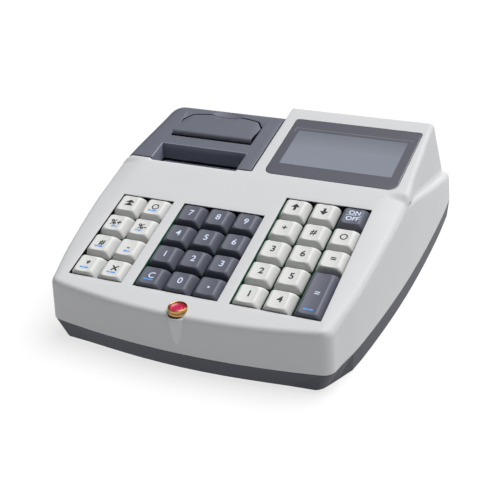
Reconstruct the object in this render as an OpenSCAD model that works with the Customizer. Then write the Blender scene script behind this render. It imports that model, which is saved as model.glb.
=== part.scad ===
// Compact electronic ticket register: keyboard deck, display pod, printer under a lid.
// Millimetres, +Z up, +Y to the rear. The origin is the middle of the footprint, on the table.

/* [Housing] */
// Width of the housing at its widest place
body_w = 204; // [196:1:216]
// Depth of the housing from the front bow to the rear bow
body_d = 260; // [254:1:270]
// Distance from the front to the widest place
belly_at = 141; // [120:1:160]
// Radius of the bulging sides in plan, ahead of the widest place
side_r = 930; // [800:10:1200]
// Radius of the bulging sides in plan, behind the widest place
rear_side_r = 1500; // [1200:10:2000]
// Radius of the bowed front in plan
bow_r = 467; // [380:5:700]
// Radius of the bowed rear in plan
rear_r = 1100; // [800:10:1600]
// Radius of the front corners in plan
front_corner_r = 5; // [4:0.5:8]
// Radius of the rear corners in plan
rear_corner_r = 12; // [10:0.5:16]
// Radius of the long top edges
edge_r = 4; // [3:0.5:6]
// Thickness of the top wall
wall = 2.5; // [2:0.1:3]
// Thickness of the side walls
side_wall = 3; // [2.5:0.1:3.5]
// How far the walls spread on their way down to the seam
draft = 1; // [0.5:0.1:1.5]
// Height of the seam between the two halves above the table
seam_z = 13.2; // [12:0.1:15]
// Height of the lower half's underside above the table
base_z = 0.6; // [0.4:0.1:2]
// How far the lower half's front draws in towards its underside
base_taper = 2.8; // [1:0.1:4]
// How far the lower half's front corners are cut in at the underside
corner_cut = 7; // [4:0.5:8]
// Thickness of the lower half's floor
floor_t = 2; // [1.6:0.1:3]

/* [Deck] */
// Height of the deck at the front edge of the keyboard
deck_h = 42.9; // [41:0.1:48]
// Slope of the keyboard deck in degrees
deck_tilt = 15.5; // [13:0.1:17]
// Distance from the housing's front to the front edge of the keyboard
deck_in = 16.3; // [15:0.1:20]
// Distance from the keyboard's front edge to the fold where the top gets flatter
fold_at = 104; // [101:0.5:108]
// Slope of the display pod and the printer cover in degrees
pod_tilt = 12.5; // [11:0.1:14]
// Distance from the keyboard's front edge to the ridge of the pod
ridge_at = 184.5; // [180:0.5:190]
// Distance from the keyboard's front edge to the foot of the rear slope
slope_at = 226; // [222:0.5:228]
// Height of the rear shoulder at the foot of the rear slope
shoulder_z = 37; // [35:0.5:41]
// How far the pod's front stands in from the widest place of the sides
pod_front_in = 1; // [0.6:0.1:3]
// How far the pod's ridge stands in from the widest place of the sides
pod_rear_in = 5.8; // [4:0.1:9]
// Thickness of the pod's top wall
pod_wall = 3.4; // [3:0.1:4]
// Radius of the pod's top edges
pod_edge_r = 3; // [2:0.1:4]
// Radius of the printer cover's outer top edge
cover_edge_r = 7; // [4:0.1:8]

/* [Keyboard] */
// Distance of the keyboard's middle to the right of the housing's middle
keys_right = 1; // [-1:0.1:2]
// Distance between the centres of two keys
key_pitch = 19.05; // [19:0.01:19.1]
// Gap between two key caps
key_gap = 1.75; // [1.5:0.01:2]
// Clearance between a key cap and the edge of its opening
key_clear = 0.41; // [0.35:0.01:0.6]
// Strip of deck between two blocks of keys
block_gap = 7.5; // [7:0.1:8]
// How far the key caps stand above the deck
key_rise = 2.5; // [2:0.1:3.5]
// Height of a key cap from its skirt to its top
cap_h = 7; // [6.5:0.1:7.5]
// Wall thickness of a key cap
cap_wall = 1.3; // [1:0.1:1.5]
// Width that a key cap loses from its skirt to its top
cap_side_slope = 5.3; // [4:0.1:6]
// Length that a key cap loses from its skirt to its top
cap_end_slope = 2.1; // [1.5:0.1:3]
// Depth of the finger dish in a key cap
dish_depth = 0.5; // [0.3:0.1:0.7]
// Travel of a key
key_travel = 3; // [2.5:0.1:3]
// Radius of a key stem
stem_r = 2.4; // [2.2:0.1:2.6]
// Radial clearance of a stem in its switch
stem_clear = 0.1; // [0.08:0.01:0.12]
// Side of a key switch housing
switch_w = 10; // [9:0.1:10.5]
// Height of a key switch housing
switch_h = 4.8; // [4.6:0.1:5]
// Thickness of the circuit boards
board_t = 1.6; // [1.4:0.1:1.8]

/* [Display] */
// Width of the display window
window_w = 89.6; // [86:0.1:90]
// Length of the display window along the slope
window_l = 61; // [58:0.1:63]
// Distance of the window from the fold, along the slope
window_at = 9.6; // [9:0.1:11]
// Thickness of the display window
window_t = 1.8; // [1.5:0.1:2]
// Radius of the window's corners
window_corner_r = 3; // [2:0.1:6]
// Width of the visible liquid crystal glass
lcd_w = 75; // [70:0.5:78]
// Length of the visible liquid crystal glass along the slope
lcd_l = 38; // [34:0.5:42]
// Distance of the glass from the window's front edge
lcd_in = 10; // [8:0.1:12]
// Width of the customer's window in the rear slope
guest_w = 66; // [60:0.5:70]
// Length of the customer's window along the rear slope
guest_l = 24; // [20:0.5:26]
// Clearance round a window in its recess
window_clear = 0.2; // [0.1:0.05:0.3]

/* [Printer] */
// Width of the paper
paper_w = 57.5; // [57:0.1:58]
// Radius of a full paper roll
roll_r = 22; // [20:0.5:22]
// Radius of the paper roll's core
core_r = 6; // [5.5:0.1:6.5]
// Radius of the rubber on the platen roller
platen_r = 6; // [5.5:0.1:6]
// Radius of the platen's shaft
shaft_r = 2.5; // [2.2:0.1:2.8]
// Radial clearance of a shaft in its bore
shaft_clear = 0.08; // [0.05:0.01:0.1]
// Gear module: pitch diameter divided by the number of teeth
gear_module = 0.6; // [0.58:0.01:0.62]
// Width of the gears
gear_w = 3.4; // [3:0.1:3.6]
// Teeth of the platen gear
platen_teeth = 24; // [24:1:24]
// Teeth of the idler gear
idler_teeth = 20; // [20:1:20]
// Teeth of the motor pinion
pinion_teeth = 12; // [12:1:12]
// Radius of the stepper motor's can
motor_r = 9; // [8:0.1:9]
// Thickness of the printer frame's side plates
plate_t = 2; // [1.8:0.1:2.2]

/* [Cover] */
// Gap all round the printer cover
cover_gap = 0.5; // [0.4:0.05:0.6]
// Thickness of the printer cover
cover_t = 2; // [1.8:0.1:2.2]
// Distance from the keyboard's front edge to the front edge of the cover
cover_at = 111; // [110:0.1:112]
// Distance of the cover's right edge left of the middle
cover_right = 6; // [5.5:0.1:6.5]
// Width of the paper exit recess in the cover
exit_w = 64; // [62:0.5:66]
// Distance from the keyboard's front edge to the ridge of the cover
cover_ridge_at = 174; // [170:0.5:176]
// Depth of the paper exit recess from front to rear
exit_d = 17; // [15:0.5:18]
// Distance of the paper path's middle left of the middle
paper_mid = 48.5; // [48:0.1:49]
// Radius of the cover's hinge rod
rod_r = 2; // [1.8:0.1:2.2]
// Width of the release lever
lever_w = 60; // [58:0.5:61]
// Length of the release lever
lever_l = 26; // [24:0.5:27]
// Radius of the release lever's rounded front edge
lever_r = 2.4; // [2.2:0.1:2.6]
// Gap round the release lever
lever_gap = 0.6; // [0.5:0.05:0.8]

/* [Seal] */
// Radius of the brass seal cup
cup_r = 5.5; // [5:0.1:6]
// Height of the seal cup
cup_h = 5; // [4:0.1:6]
// Wall of the seal cup
cup_wall = 0.9; // [0.6:0.1:1.2]
// Height of the cup's rim above the table
cup_top = 42.4; // [41:0.1:43]
// How far the seal boss stands out of the front
boss_out = 2; // [1:0.1:3]

/* [Hidden] */
// Each key: name, block, column, row, rows it spans, dark or light.
KEYS = [
    ["key_page_up", 0, 0, 3, 1, "light"], ["key_mode", 0, 1, 3, 1, "light"],
    ["key_percent_plus", 0, 0, 2, 1, "light"], ["key_percent_minus", 0, 1, 2, 1, "light"],
    ["key_price", 0, 0, 1, 1, "light"], ["key_void", 0, 1, 1, 1, "light"],
    ["key_function", 0, 0, 0, 1, "light"], ["key_quantity", 0, 1, 0, 1, "light"],
    ["key_7", 1, 0, 3, 1, "dark"], ["key_8", 1, 1, 3, 1, "dark"],
    ["key_9", 1, 2, 3, 1, "dark"], ["key_4", 1, 0, 2, 1, "dark"],
    ["key_5", 1, 1, 2, 1, "dark"], ["key_6", 1, 2, 2, 1, "dark"],
    ["key_1", 1, 0, 1, 1, "dark"], ["key_2", 1, 1, 1, 1, "dark"],
    ["key_3", 1, 2, 1, 1, "dark"], ["key_clear_entry", 1, 0, 0, 1, "dark"],
    ["key_0", 1, 1, 0, 1, "dark"], ["key_point", 1, 2, 0, 1, "dark"],
    ["key_up", 2, 0, 4, 1, "light"], ["key_down", 2, 1, 4, 1, "light"],
    ["key_power", 2, 2, 4, 1, "dark"], ["key_department", 2, 0, 3, 1, "light"],
    ["key_lookup", 2, 1, 3, 1, "light"], ["key_payment", 2, 2, 3, 1, "light"],
    ["key_group_3", 2, 0, 2, 1, "light"], ["key_group_6", 2, 1, 2, 1, "light"],
    ["key_subtotal", 2, 2, 2, 1, "light"], ["key_group_2", 2, 0, 1, 1, "light"],
    ["key_group_5", 2, 1, 1, 1, "light"], ["key_total", 2, 2, 0, 2, "dark"],
    ["key_group_1", 2, 0, 0, 1, "light"], ["key_group_4", 2, 1, 0, 1, "light"]];

BLOCK_COLS = [2, 3, 3];
BLOCK_ROWS = [4, 4, 5];

$fn = 48;
tiny = 0.01;
light_grey = "gainsboro";
dark_grey = "dimgray";
board_green = "darkgreen";

// Places along the depth.
front_y = (boss_out - body_d - draft) / 2;
rear_y = front_y + body_d;
belly_y = front_y + belly_at;
deck_y = front_y + deck_in;
fold_y = deck_y + fold_at;
ridge_y = deck_y + ridge_at;
slope_y = deck_y + slope_at;
cover_y = deck_y + cover_at;
fold_z = deck_h + fold_at * tan(deck_tilt);
ridge_z = fold_z + (ridge_y - fold_y) * tan(pod_tilt);
rail_slope = (fold_z - shoulder_z) / (slope_y - fold_y);
slope_len = norm([slope_y - ridge_y, ridge_z - shoulder_z]);
slope_angle = atan2(ridge_z - shoulder_z, slope_y - ridge_y);

// ---------- Outline of the housing ----------

// Half the width of the housing at depth y.
function side_x(y) = body_w / 2 - (y - belly_y) * (y - belly_y)
                     / (2 * (y < belly_y ? side_r : rear_side_r));
// How far the front and rear bows set a point at x back from their crown.
function front_sag(x) = x * x / (2 * bow_r);
function rear_sag(x) = x * x / (2 * rear_r);
// Half the width, with a round corner of radius r over the first d millimetres.
function corner_x(w, r, d) = d >= r ? w : w - r + sqrt(max(0, r * r - (r - d) * (r - d)));

// Distances behind the front and in front of the rear at which the outline has points.
corner_steps = [for (k = [0:4]) 1 - cos(k * 22.5)];
mid_rows = [for (k = [1:13]) front_y + 16 + (body_d - 32 - rear_corner_r) * k / 14];
// Each row: its depth at the middle, its share of the front bow and of the rear bow.
outline_rows = concat(
    [for (s = corner_steps) [front_y + s * front_corner_r, 1, 0]],
    [[front_y + 16, 0.7, 0]],
    [for (y = mid_rows) [y, max(0, 0.7 - (y - front_y - 16) / 40), max(0, (y - rear_y + 40) / 40)]],
    [for (k = [4:-1:0]) [rear_y - corner_steps[k] * rear_corner_r, 0, 1]]);
function row_half(row) = corner_x(corner_x(side_x(row[0]), front_corner_r, row[0] - front_y),
                                  rear_corner_r, rear_y - row[0]);
function row_y(row, x) = row[0] + row[1] * front_sag(x) - row[2] * rear_sag(x);

// Closed outline of the housing at the seam.
outline = let (
    right = [for (r = outline_rows) let (w = row_half(r)) [w, row_y(r, w)]],
    n = len(right), half_front = right[0][0], half_rear = right[n - 1][0],
    front = [for (k = [-5:5]) let (x = half_front * k / 6) [x, front_y + front_sag(x)]],
    rear = [for (k = [5:-1:-5]) let (x = half_rear * k / 6) [x, rear_y - rear_sag(x)]],
    left = [for (k = [n - 1:-1:0]) [-right[k][0], right[k][1]]])
    concat(front, right, rear, left);
// The same outline drawn in all round.
function inner(loop, inset) = [for (p = loop) [p[0] * (1 - inset / (body_w / 2)),
                                               p[1] * (1 - inset / (body_d / 2))]];

// Height of the lower body's top: the deck up to the fold, then the rail that falls to the rear.
function rail_z(y) = y < fold_y ? deck_h + (y - deck_y) * tan(deck_tilt)
                                : fold_z - (y - fold_y) * rail_slope;
// Height of the pod's and the cover's sloping top.
function pod_z(y) = fold_z + (y - fold_y) * tan(pod_tilt);
// The same with a ridge rounded over 2 * blend, from which it falls to the rear shoulder.
function wedge_z(y, ridge, blend) = let (
    t = y - ridge, rise = tan(pod_tilt), top = pod_z(ridge),
    fall = (shoulder_z - top) / (slope_y - ridge))
    t < -blend ? pod_z(y) : t > blend ? top + fall * t
        : top + (rise + fall) / 2 * t + (fall - rise) / (4 * blend) * (t * t + blend * blend);
pod_front_half = body_w / 2 - pod_front_in;
pod_rear_half = body_w / 2 - pod_rear_in;
function pod_half(y) = pod_front_half + (pod_rear_half - pod_front_half)
                       * (y - fold_y) / (ridge_y - fold_y);

// Drop of a rounded edge of radius r at distance d inside it.
function round_drop(r, d) = d >= r ? 0 : r - sqrt(max(0, r * r - (r - d) * (r - d)));

// Closed solid under a grid of top points, down to level z, its walls spread by (kx, ky).
module under_grid(grid, z, kx = 1, ky = 1) {
    n = len(grid);
    m = len(grid[0]);
    rim = concat([for (j = [0:m - 1]) [0, j]], [for (i = [1:n - 1]) [i, m - 1]],
                 [for (j = [m - 2:-1:0]) [n - 1, j]], [for (i = [n - 2:-1:1]) [i, 0]]);
    c = len(rim);
    middle = grid[floor(n / 2)][floor(m / 2)];
    points = concat([for (row = grid) each row],
                    [for (q = rim) let (p = grid[q[0]][q[1]]) [p[0] * kx, p[1] * ky, z]],
                    [[0, middle[1], z]]);
    top = [for (i = [0:n - 2]) for (j = [0:m - 2]) let (a = i * m + j)
               each [[a, a + m, a + m + 1], [a, a + m + 1, a + 1]]];
    walls = [for (k = [0:c - 1]) let (e = (k + 1) % c,
               a = rim[k][0] * m + rim[k][1], b = rim[e][0] * m + rim[e][1])
               each [[a, b, n * m + e], [a, n * m + e, n * m + k]]];
    foot = [for (k = [0:c - 1]) [n * m + k, n * m + (k + 1) % c, n * m + c]];
    polyhedron(points, concat(top, walls, foot), convexity = 6);
}

// ---------- Upper housing ----------

edge_cols = [for (k = [0:4]) 1 - cos(k * 22.5)];
front_edge_r = 2.5;
// Rows of the lower body: depth at the middle, bow shares, drop of the front or rear edge.
function body_rows() = concat(
    [for (s = [0, 0.3, 1]) [front_y + s * front_edge_r, 1, 0,
                            round_drop(front_edge_r, s * front_edge_r)]],
    [[front_y + front_corner_r, 1, 0, 0]],
    [for (k = [0:5]) let (y = front_y + 14 + k * 20) [y, max(0, 0.85 - k / 3), 0, 0]],
    [[fold_y - 2, 0, 0, 0], [fold_y + 2, 0, 0, 0]],
    [for (k = [1:7]) let (y = fold_y + (rear_y - rear_corner_r - fold_y) * k / 7)
         [y, 0, max(0, 1 - (rear_y - rear_corner_r - y) / 40), 0]],
    [for (k = [3:-1:0]) let (s = corner_steps[k])
         [rear_y - s * rear_corner_r, 0, 1, round_drop(rear_corner_r, s * rear_corner_r)]]);
function body_row(r) = let (
    w = row_half(r),
    cols = concat([for (s = edge_cols) s * edge_r - w],
                  [for (k = [-3:3]) w * k / 4],
                  [for (k = [4:-1:0]) w - edge_cols[k] * edge_r]))
    [for (x = cols) let (y = row_y(r, x))
        [x, y, rail_z(y) - r[3] - round_drop(edge_r, w - abs(x))]];

module body_solid() {
    under_grid([for (r = body_rows()) body_row(r)], seam_z,
               1 + draft / (body_w / 2), 1 + draft / (body_d / 2));
}

// Wedge that rises from the fold to a ridge and falls to the rear shoulder.
function wedge_row(y, ridge, blend, left_r, right_r, inset) = let (
    w = pod_half(y) - inset, top = wedge_z(y, ridge, blend) - inset / cos(pod_tilt),
    cols = concat([for (s = edge_cols) s * left_r - w], [0],
                  [for (k = [4:-1:0]) w - edge_cols[k] * right_r]))
    [for (x = cols) [x, y, top - round_drop(x < 0 ? left_r : right_r, w - abs(x))]];
module wedge(ridge, blend, left_r, right_r, inset = 0) {
    rows = concat([for (k = [0:4]) fold_y - 1 + (ridge - blend - fold_y + 1) * k / 4],
                  [for (t = [-0.5, 0, 0.5, 1]) ridge + t * blend],
                  [(ridge + slope_y) / 2, slope_y + 4]);
    under_grid([for (y = rows) wedge_row(y, ridge, blend, left_r, right_r, inset)],
               seam_z, 1.01, 1);
}
pod_blend = 2;
cover_blend = 7;
cover_ridge_y = deck_y + cover_ridge_at;
module pod_solid() { wedge(ridge_y, pod_blend, cover_edge_r, pod_edge_r); }
module cover_solid(inset = 0) {
    wedge(cover_ridge_y, cover_blend, cover_edge_r, pod_edge_r, inset);
}

// Side view of the hollow under the deck and rail, and of the hollow in the pod.
module side_extrude(x0, x1, points) {
    translate([x0, 0, 0]) rotate([90, 0, 90]) linear_extrude(x1 - x0) polygon(points);
}
module body_hollow() {
    low = seam_z - 1;
    intersection() {
        translate([0, 0, low]) linear_extrude(ridge_z) polygon(inner(outline, side_wall));
        side_extrude(-body_w, body_w, [
            [front_y - 1, low], [front_y - 1, rail_z(front_y - 1) - wall],
            [fold_y, fold_z - wall], [rear_y - rear_corner_r, rail_z(rear_y - rear_corner_r) - wall],
            [rear_y - side_wall, seam_z + 6], [rear_y, low]]);
    }
}
cover_left = -pod_half(cover_y);
pod_wall_x = -cover_right + cover_gap;
module pod_hollow() {
    drop = pod_wall / cos(pod_tilt);
    side_extrude(pod_wall_x + wall, pod_rear_half - side_wall - 1, [
        [fold_y + 6, rail_z(fold_y) - 12], [fold_y + 6, pod_z(fold_y + 6) - drop],
        [ridge_y - 1, pod_z(ridge_y - 1) - drop - 0.6],
        [slope_y - 9, wedge_z(slope_y - 9, ridge_y, 1) - wall / cos(slope_angle)],
        [slope_y - 9, rail_z(slope_y) - 10]]);
}

// Local frames: on the deck, on the pod's top and on the rear slope.
module on_deck() { translate([0, deck_y, deck_h]) rotate([deck_tilt, 0, 0]) children(); }
module on_pod() { translate([0, fold_y, fold_z]) rotate([pod_tilt, 0, 0]) children(); }
module on_slope() { translate([0, ridge_y, ridge_z]) rotate([-slope_angle, 0, 0]) children(); }

// Rectangle with round corners, from its lower left corner.
module round_rect(w, l, r) { translate([r, r]) offset(r) square([w - 2 * r, l - 2 * r]); }

// ---------- Keyboard layout ----------

cap_w = key_pitch - key_gap;
function block_w(b) = BLOCK_COLS[b] * key_pitch - key_gap + 2 * key_clear;
function block_l(b) = BLOCK_ROWS[b] * key_pitch - key_gap + 2 * key_clear;
keyboard_w = block_w(0) + block_w(1) + block_w(2) + 2 * block_gap;
function block_x(b) = b == 0 ? keys_right - keyboard_w / 2 : block_x(b - 1) + block_w(b - 1) + block_gap;
function cap_l(k) = k[4] * key_pitch - key_gap;
function key_x(k) = block_x(k[1]) + key_clear + cap_w / 2 + k[2] * key_pitch;
function key_v(k) = key_clear + k[3] * key_pitch + cap_l(k) / 2;
skirt_n = key_rise - cap_h;
switch_top_n = skirt_n - 0.7;
board_top_n = switch_top_n - switch_h;
stem_end_n = board_top_n + key_travel + 0.3;
board_half = keyboard_w / 2 + 2;
board_l = block_l(2) + 4;

module key_openings() {
    for (b = [0:2]) translate([block_x(b), 0, -20])
        linear_extrude(30) round_rect(block_w(b), block_l(b), 1);
}

// Posts under the deck that carry the keyboard's circuit board.
post_r = 2.6;
post_places = [for (v = [12, 62]) each [[block_x(1) - block_gap / 2, v],
                                        [block_x(2) - block_gap / 2, v]],
               [block_x(0) + 20, 84], [0, 84]];
module board_posts() {
    for (p = post_places) translate([p[0], p[1], board_top_n])
        cylinder(h = -board_top_n - wall / 2, r = post_r);
}

// ---------- Places in the printer bay ----------

platen_y = deck_y + 121;
platen_z = deck_h + 14.1;
pinion_y = deck_y + 133;
pinion_z = deck_h - 2.9;
mesh_a = gear_module * (platen_teeth + idler_teeth) / 2 + 0.06;
mesh_b = gear_module * (idler_teeth + pinion_teeth) / 2 + 0.06;
axes_apart = norm([pinion_y - platen_y, pinion_z - platen_z]);
idler_turn = acos((mesh_a * mesh_a + axes_apart * axes_apart - mesh_b * mesh_b)
                  / (2 * mesh_a * axes_apart));
axes_angle = atan2(pinion_z - platen_z, pinion_y - platen_y);
idler_y = platen_y + mesh_a * cos(axes_angle + idler_turn);
idler_z = platen_z + mesh_a * sin(axes_angle + idler_turn);
roll_y = deck_y + 162;
roll_z = platen_z;
plate_in = paper_w / 2 + 2.25;
plate_left = -paper_mid - plate_in - plate_t;
plate_right = -paper_mid + plate_in;
gear_x = plate_left - 1 - gear_w;
frame_low = pinion_z - 12;
hinge_y = deck_y + 201;
hinge_up = 5.88;
hinge_z = rail_z(hinge_y) + hinge_up;
ear_r = 4;
ear_w = 3;
ear_places = [cover_left + 12, -cover_right - 9 - ear_w];
cover_end = slope_y + 12;
bay_left = plate_left - gear_w - 3.5;
bay_right = plate_right + plate_t + 3;
bay_front = cover_y + 0.5;
bay_rear = roll_y + roll_r + 4;

module on_x(y, z, x = 0) { translate([x, y, z]) rotate([90, 0, 90]) children(); }

// Ears on the rear deck that carry the cover's hinge rod.
module hinge_ears() {
    for (x = ear_places) {
        on_x(hinge_y, hinge_z, x) cylinder(h = ear_w, r = ear_r);
        translate([x, hinge_y - ear_r, rail_z(hinge_y) - 3])
            cube([ear_w, 2 * ear_r, hinge_z - rail_z(hinge_y) + 3]);
    }
}

// Corner screws.
screw_r = 1.5;
screw_boss_r = 4;
screw_places = [[-66, front_y + 12.5], [66, front_y + 12.5],
                [-82, slope_y + 1], [82, slope_y + 1]];
module screw_bosses() {
    for (p = screw_places) translate([p[0], p[1], seam_z])
        cylinder(h = rail_z(p[1]) - wall - seam_z + 0.5, r = screw_boss_r);
}

// Rear sockets: name, x, width, height of each window.
socket_low = 11.2;
sockets = [[-34, 12, 11], [-12, 12, 11], [10, 12, 11], [30, 9, 11]];
socket_play = 0.3;
module socket_windows() {
    for (s = sockets) translate([s[0] - s[1] / 2 - socket_play, rear_y - 14, socket_low - socket_play])
        cube([s[1] + 2 * socket_play, 20, s[2] + 2 * socket_play]);
}

cup_y = front_y - boss_out + cup_r + 0.9;
cup_seat_z = cup_top - cup_h;
module seal_boss() {
    translate([0, cup_y, seam_z + 3])
        cylinder(h = cup_seat_z + 1.6 - seam_z - 3, r1 = cup_r - 2, r2 = cup_r + 0.9);
}

window_clip = 1.2;
module upper_housing() {
    color(light_grey) difference() {
        union() {
            difference() {
                union() {
                    body_solid();
                    difference() {
                        pod_solid();
                        translate([-body_w, cover_y - cover_gap, 0])
                            cube([body_w + pod_wall_x, cover_end - cover_y + cover_gap, ridge_z * 2]);
                    }
                }
                body_hollow();
                pod_hollow();
            }
            intersection() {
                union() {
                    on_deck() board_posts();
                    screw_bosses();
                }
                body_solid();
            }
            intersection() {
                translate([pod_wall_x, cover_y - cover_gap, rail_z(slope_y) - 8])
                    cube([wall, slope_y - cover_y, ridge_z]);
                pod_solid();
            }
            hinge_ears();
            seal_boss();
        }
        // Keyboard, paper bay and paper lip.
        on_deck() key_openings();
        translate([bay_left, bay_front, 20])
            cube([bay_right - bay_left, bay_rear - bay_front, 70]);
        translate([-paper_mid - exit_w / 2, cover_y - cover_gap + tiny, platen_z - 2])
            cube([exit_w, bay_front - cover_y + 1, ridge_z]);
        on_x(cover_y - cover_gap, pod_z(cover_y) + 8, -paper_mid - exit_w / 2)
            cylinder(h = exit_w, r = 9.5);
        // Window recess and opening over the display.
        on_pod() {
            translate([window_left - window_clear, window_at - window_clear, -window_t])
                linear_extrude(10) round_rect(window_w + 2 * window_clear,
                                              window_l + 2 * window_clear, window_corner_r);
            translate([lcd_left - lcd_room, window_at + lcd_in - 6, -10])
                cube([lcd_w + 2 * lcd_room, lcd_l + 13, 20]);
        }
        on_slope() {
            translate([guest_left - window_clear, guest_at - window_clear, -window_t])
                cube([guest_w + 2 * window_clear, guest_l + 2 * window_clear, 10]);
            translate([guest_left + 4, guest_at + 4, -8]) cube([guest_w - 8, guest_l - 8, 16]);
        }
        for (x = ear_places) on_x(hinge_y, hinge_z, x - 1)
            cylinder(h = ear_w + 2, r = rod_r + shaft_clear);
        for (p = screw_places) translate([p[0], p[1], seam_z - 1])
            cylinder(h = 12, r = screw_r + shaft_clear);
        translate([0, cup_y, cup_seat_z]) cylinder(h = 20, r = cup_r + shaft_clear);
        socket_windows();
    }
}
window_left = pod_wall_x + 8;
lcd_left = window_left + (window_w - lcd_w) / 2;
lcd_room = 3.3;
guest_left = 13;
guest_at = 14;

// ---------- Lower housing ----------

// Outline of the underside: the front drawn in and its corners cut.
foot_loop = [for (p = outline) let (
    d = p[1] - front_y, cut = max(0, min(1, 1 - (d - 9) / 25)), back = max(0, 1 - pow(d / 9, 3)))
    [p[0] * (1 - corner_cut * cut / (body_w / 2)), p[1] + base_taper * back]];
module base_solid() {
    c = len(outline);
    points = concat([for (p = foot_loop) [p[0], p[1], base_z]],
                    [for (p = inner(outline, -draft)) [p[0], p[1], seam_z]],
                    [[0, 0, base_z], [0, 0, seam_z]]);
    polyhedron(points, [for (k = [0:c - 1]) let (e = (k + 1) % c)
                            each [[k, c + e, e], [k, c + k, c + e],
                                  [k, e, 2 * c], [c + e, c + k, 2 * c + 1]]], convexity = 4);
}
foot_r = 7;
foot_places = [[-72, front_y + 26], [72, front_y + 26], [-82, rear_y - 26], [82, rear_y - 26]];
foot_pad_h = base_z + 0.8;
frame_posts = [for (x = [plate_left + 8, plate_right - 6]) for (y = [platen_y + 2, roll_y + 6]) [x, y]];
board_z = 8;
main_board = [-50, rear_y - 57.5, 110, 52];
board_post_places = [for (x = [main_board[0] + 6, main_board[0] + main_board[2] - 6])
                         for (y = [main_board[1] + 6, main_board[1] + main_board[3] - 6]) [x, y]];
module lower_housing() {
    floor_z = base_z + floor_t;
    color("slategray") difference() {
        union() {
            difference() {
                base_solid();
                translate([0, 0, floor_z]) linear_extrude(seam_z)
                    polygon(inner(foot_loop, side_wall));
            }
            for (p = screw_places) translate([p[0], p[1], base_z])
                cylinder(h = seam_z - base_z, r = screw_boss_r + 0.6);
            for (p = frame_posts) translate([p[0], p[1], floor_z - tiny])
                cylinder(h = frame_low - floor_z, r = 3.5);
            for (p = board_post_places) translate([p[0], p[1], floor_z - tiny])
                cylinder(h = board_z - floor_z, r = 3);
            for (y = [battery_y - 1.5, battery_y + battery_d])
                translate([battery_x, y, floor_z - tiny]) cube([battery_w, 1.5, 8]);
        }
        for (p = screw_places) translate([p[0], p[1], 0]) {
            cylinder(h = 30, r = screw_r + shaft_clear);
            cylinder(h = base_z + 3.6, r = 3.2);
        }
        for (p = foot_places) translate([p[0], p[1], base_z - 1])
            cylinder(h = 1.8, r = foot_r + 0.1);
        socket_windows();
    }
}
module rubber_feet() {
    color("black") for (p = foot_places) translate([p[0], p[1], 0])
        cylinder(h = foot_pad_h, r = foot_r);
}
module case_screws() {
    color("silver") for (p = screw_places) translate([p[0], p[1], 0]) {
        translate([0, 0, base_z + 1.4]) cylinder(h = 2.2, r = 3);
        translate([0, 0, base_z + 3]) cylinder(h = 18, r = screw_r);
    }
}

// ---------- Printer cover and its lever ----------

lever_axis_s = (deck_y + 141.5 - fold_y) / cos(pod_tilt);
lever_axis_n = 0.3;
lever_left = -paper_mid - lever_w / 2;
pocket_floor = lever_axis_n - lever_r - 0.25;
exit_rear = cover_y + exit_d;
exit_floor_z = pod_z(exit_rear) - 12;
slot_d = 5.5;
rail_gap = 0.4;
module cover_shape(inset) {
    front = cover_y + inset;
    intersection() {
        cover_solid(inset);
        translate([-body_w, front, 0]) cube([body_w - cover_right - inset, body_d, ridge_z + 5]);
        side_extrude(-body_w, body_w, [
            [front, rail_z(front) + rail_gap], [front, ridge_z + 5], [hinge_y + 6.5, ridge_z + 5],
            [hinge_y + 6.5, hinge_z + 3], [hinge_y + 4, hinge_z - 2.5], [hinge_y, hinge_z - 4.4],
            [hinge_y - 8, rail_z(hinge_y - 8) + rail_gap]]);
    }
}
module lever_plan(grow) {
    l = lever_l + grow;
    w = lever_w + 2 * grow;
    translate([lever_left - grow, 0]) polygon(concat(
        [[0, -lever_r - grow], [w, -lever_r - grow], [w, l * 0.62], [w - 4, l * 0.8]],
        [for (k = [4:-1:-4]) let (x = w / 2 + (w / 2 - 9) * k / 5)
             [x, l - 4.5 * pow((x - w / 2) / (w / 2), 2)]],
        [[4, l * 0.8], [0, l * 0.62]]));
}
exit_left = -paper_mid - exit_w / 2;
module printer_cover() {
    color(dark_grey) difference() {
        union() {
            difference() {
                cover_shape(0);
                cover_shape(cover_t);
                translate([-body_w, cover_y + cover_t, 0])
                    cube([2 * body_w, 6, rail_z(cover_y + cover_t) + 1]);
            }
            intersection() {
                cover_solid();
                union() {
                    // Cheeks, rear wall and floor of the paper exit.
                    translate([exit_left - cover_t, bay_front + cover_gap, exit_floor_z])
                        cube([exit_w + 2 * cover_t, exit_d + cover_t - cover_gap - 0.5, 40]);
                    // Tray under the lever.
                    on_pod() translate([lever_left - 3, lever_axis_s - 5, pocket_floor - cover_t])
                        cube([lever_w + 6, lever_l + 14, 10]);
                }
            }
            on_x(hinge_y, hinge_z, 1 - pod_half(hinge_y))
                cylinder(h = pod_half(hinge_y) - cover_right - 1 - cover_t / 2, r = rod_r);
            for (x = [1 - pod_half(hinge_y), -cover_right - cover_t - 2])
                intersection() {
                    translate([x, hinge_y - 3, hinge_z - 3]) cube([3.5, 6, 30]);
                    cover_shape(0);
                }
        }
        translate([exit_left, cover_y - 1, exit_floor_z + 1.5]) cube([exit_w, exit_d + 1, ridge_z]);
        translate([exit_left, cover_y - 1, 0]) cube([exit_w, slot_d + 1, ridge_z]);
        on_pod() {
            translate([0, lever_axis_s, pocket_floor]) linear_extrude(20) lever_plan(lever_gap);
            // Finger scoop behind the lever.
            translate([-paper_mid, lever_axis_s + lever_l + 5.5 - 15, pocket_floor])
                cylinder(h = 20, r = 15);
        }
        for (x = [lever_left - lever_gap - 1.4, lever_left + lever_w + lever_gap - 0.2])
            on_pod() translate([x, lever_axis_s, lever_axis_n]) rotate([0, 90, 0])
                cylinder(h = 1.6, r = 1.2 + shaft_clear);
    }
}
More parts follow.
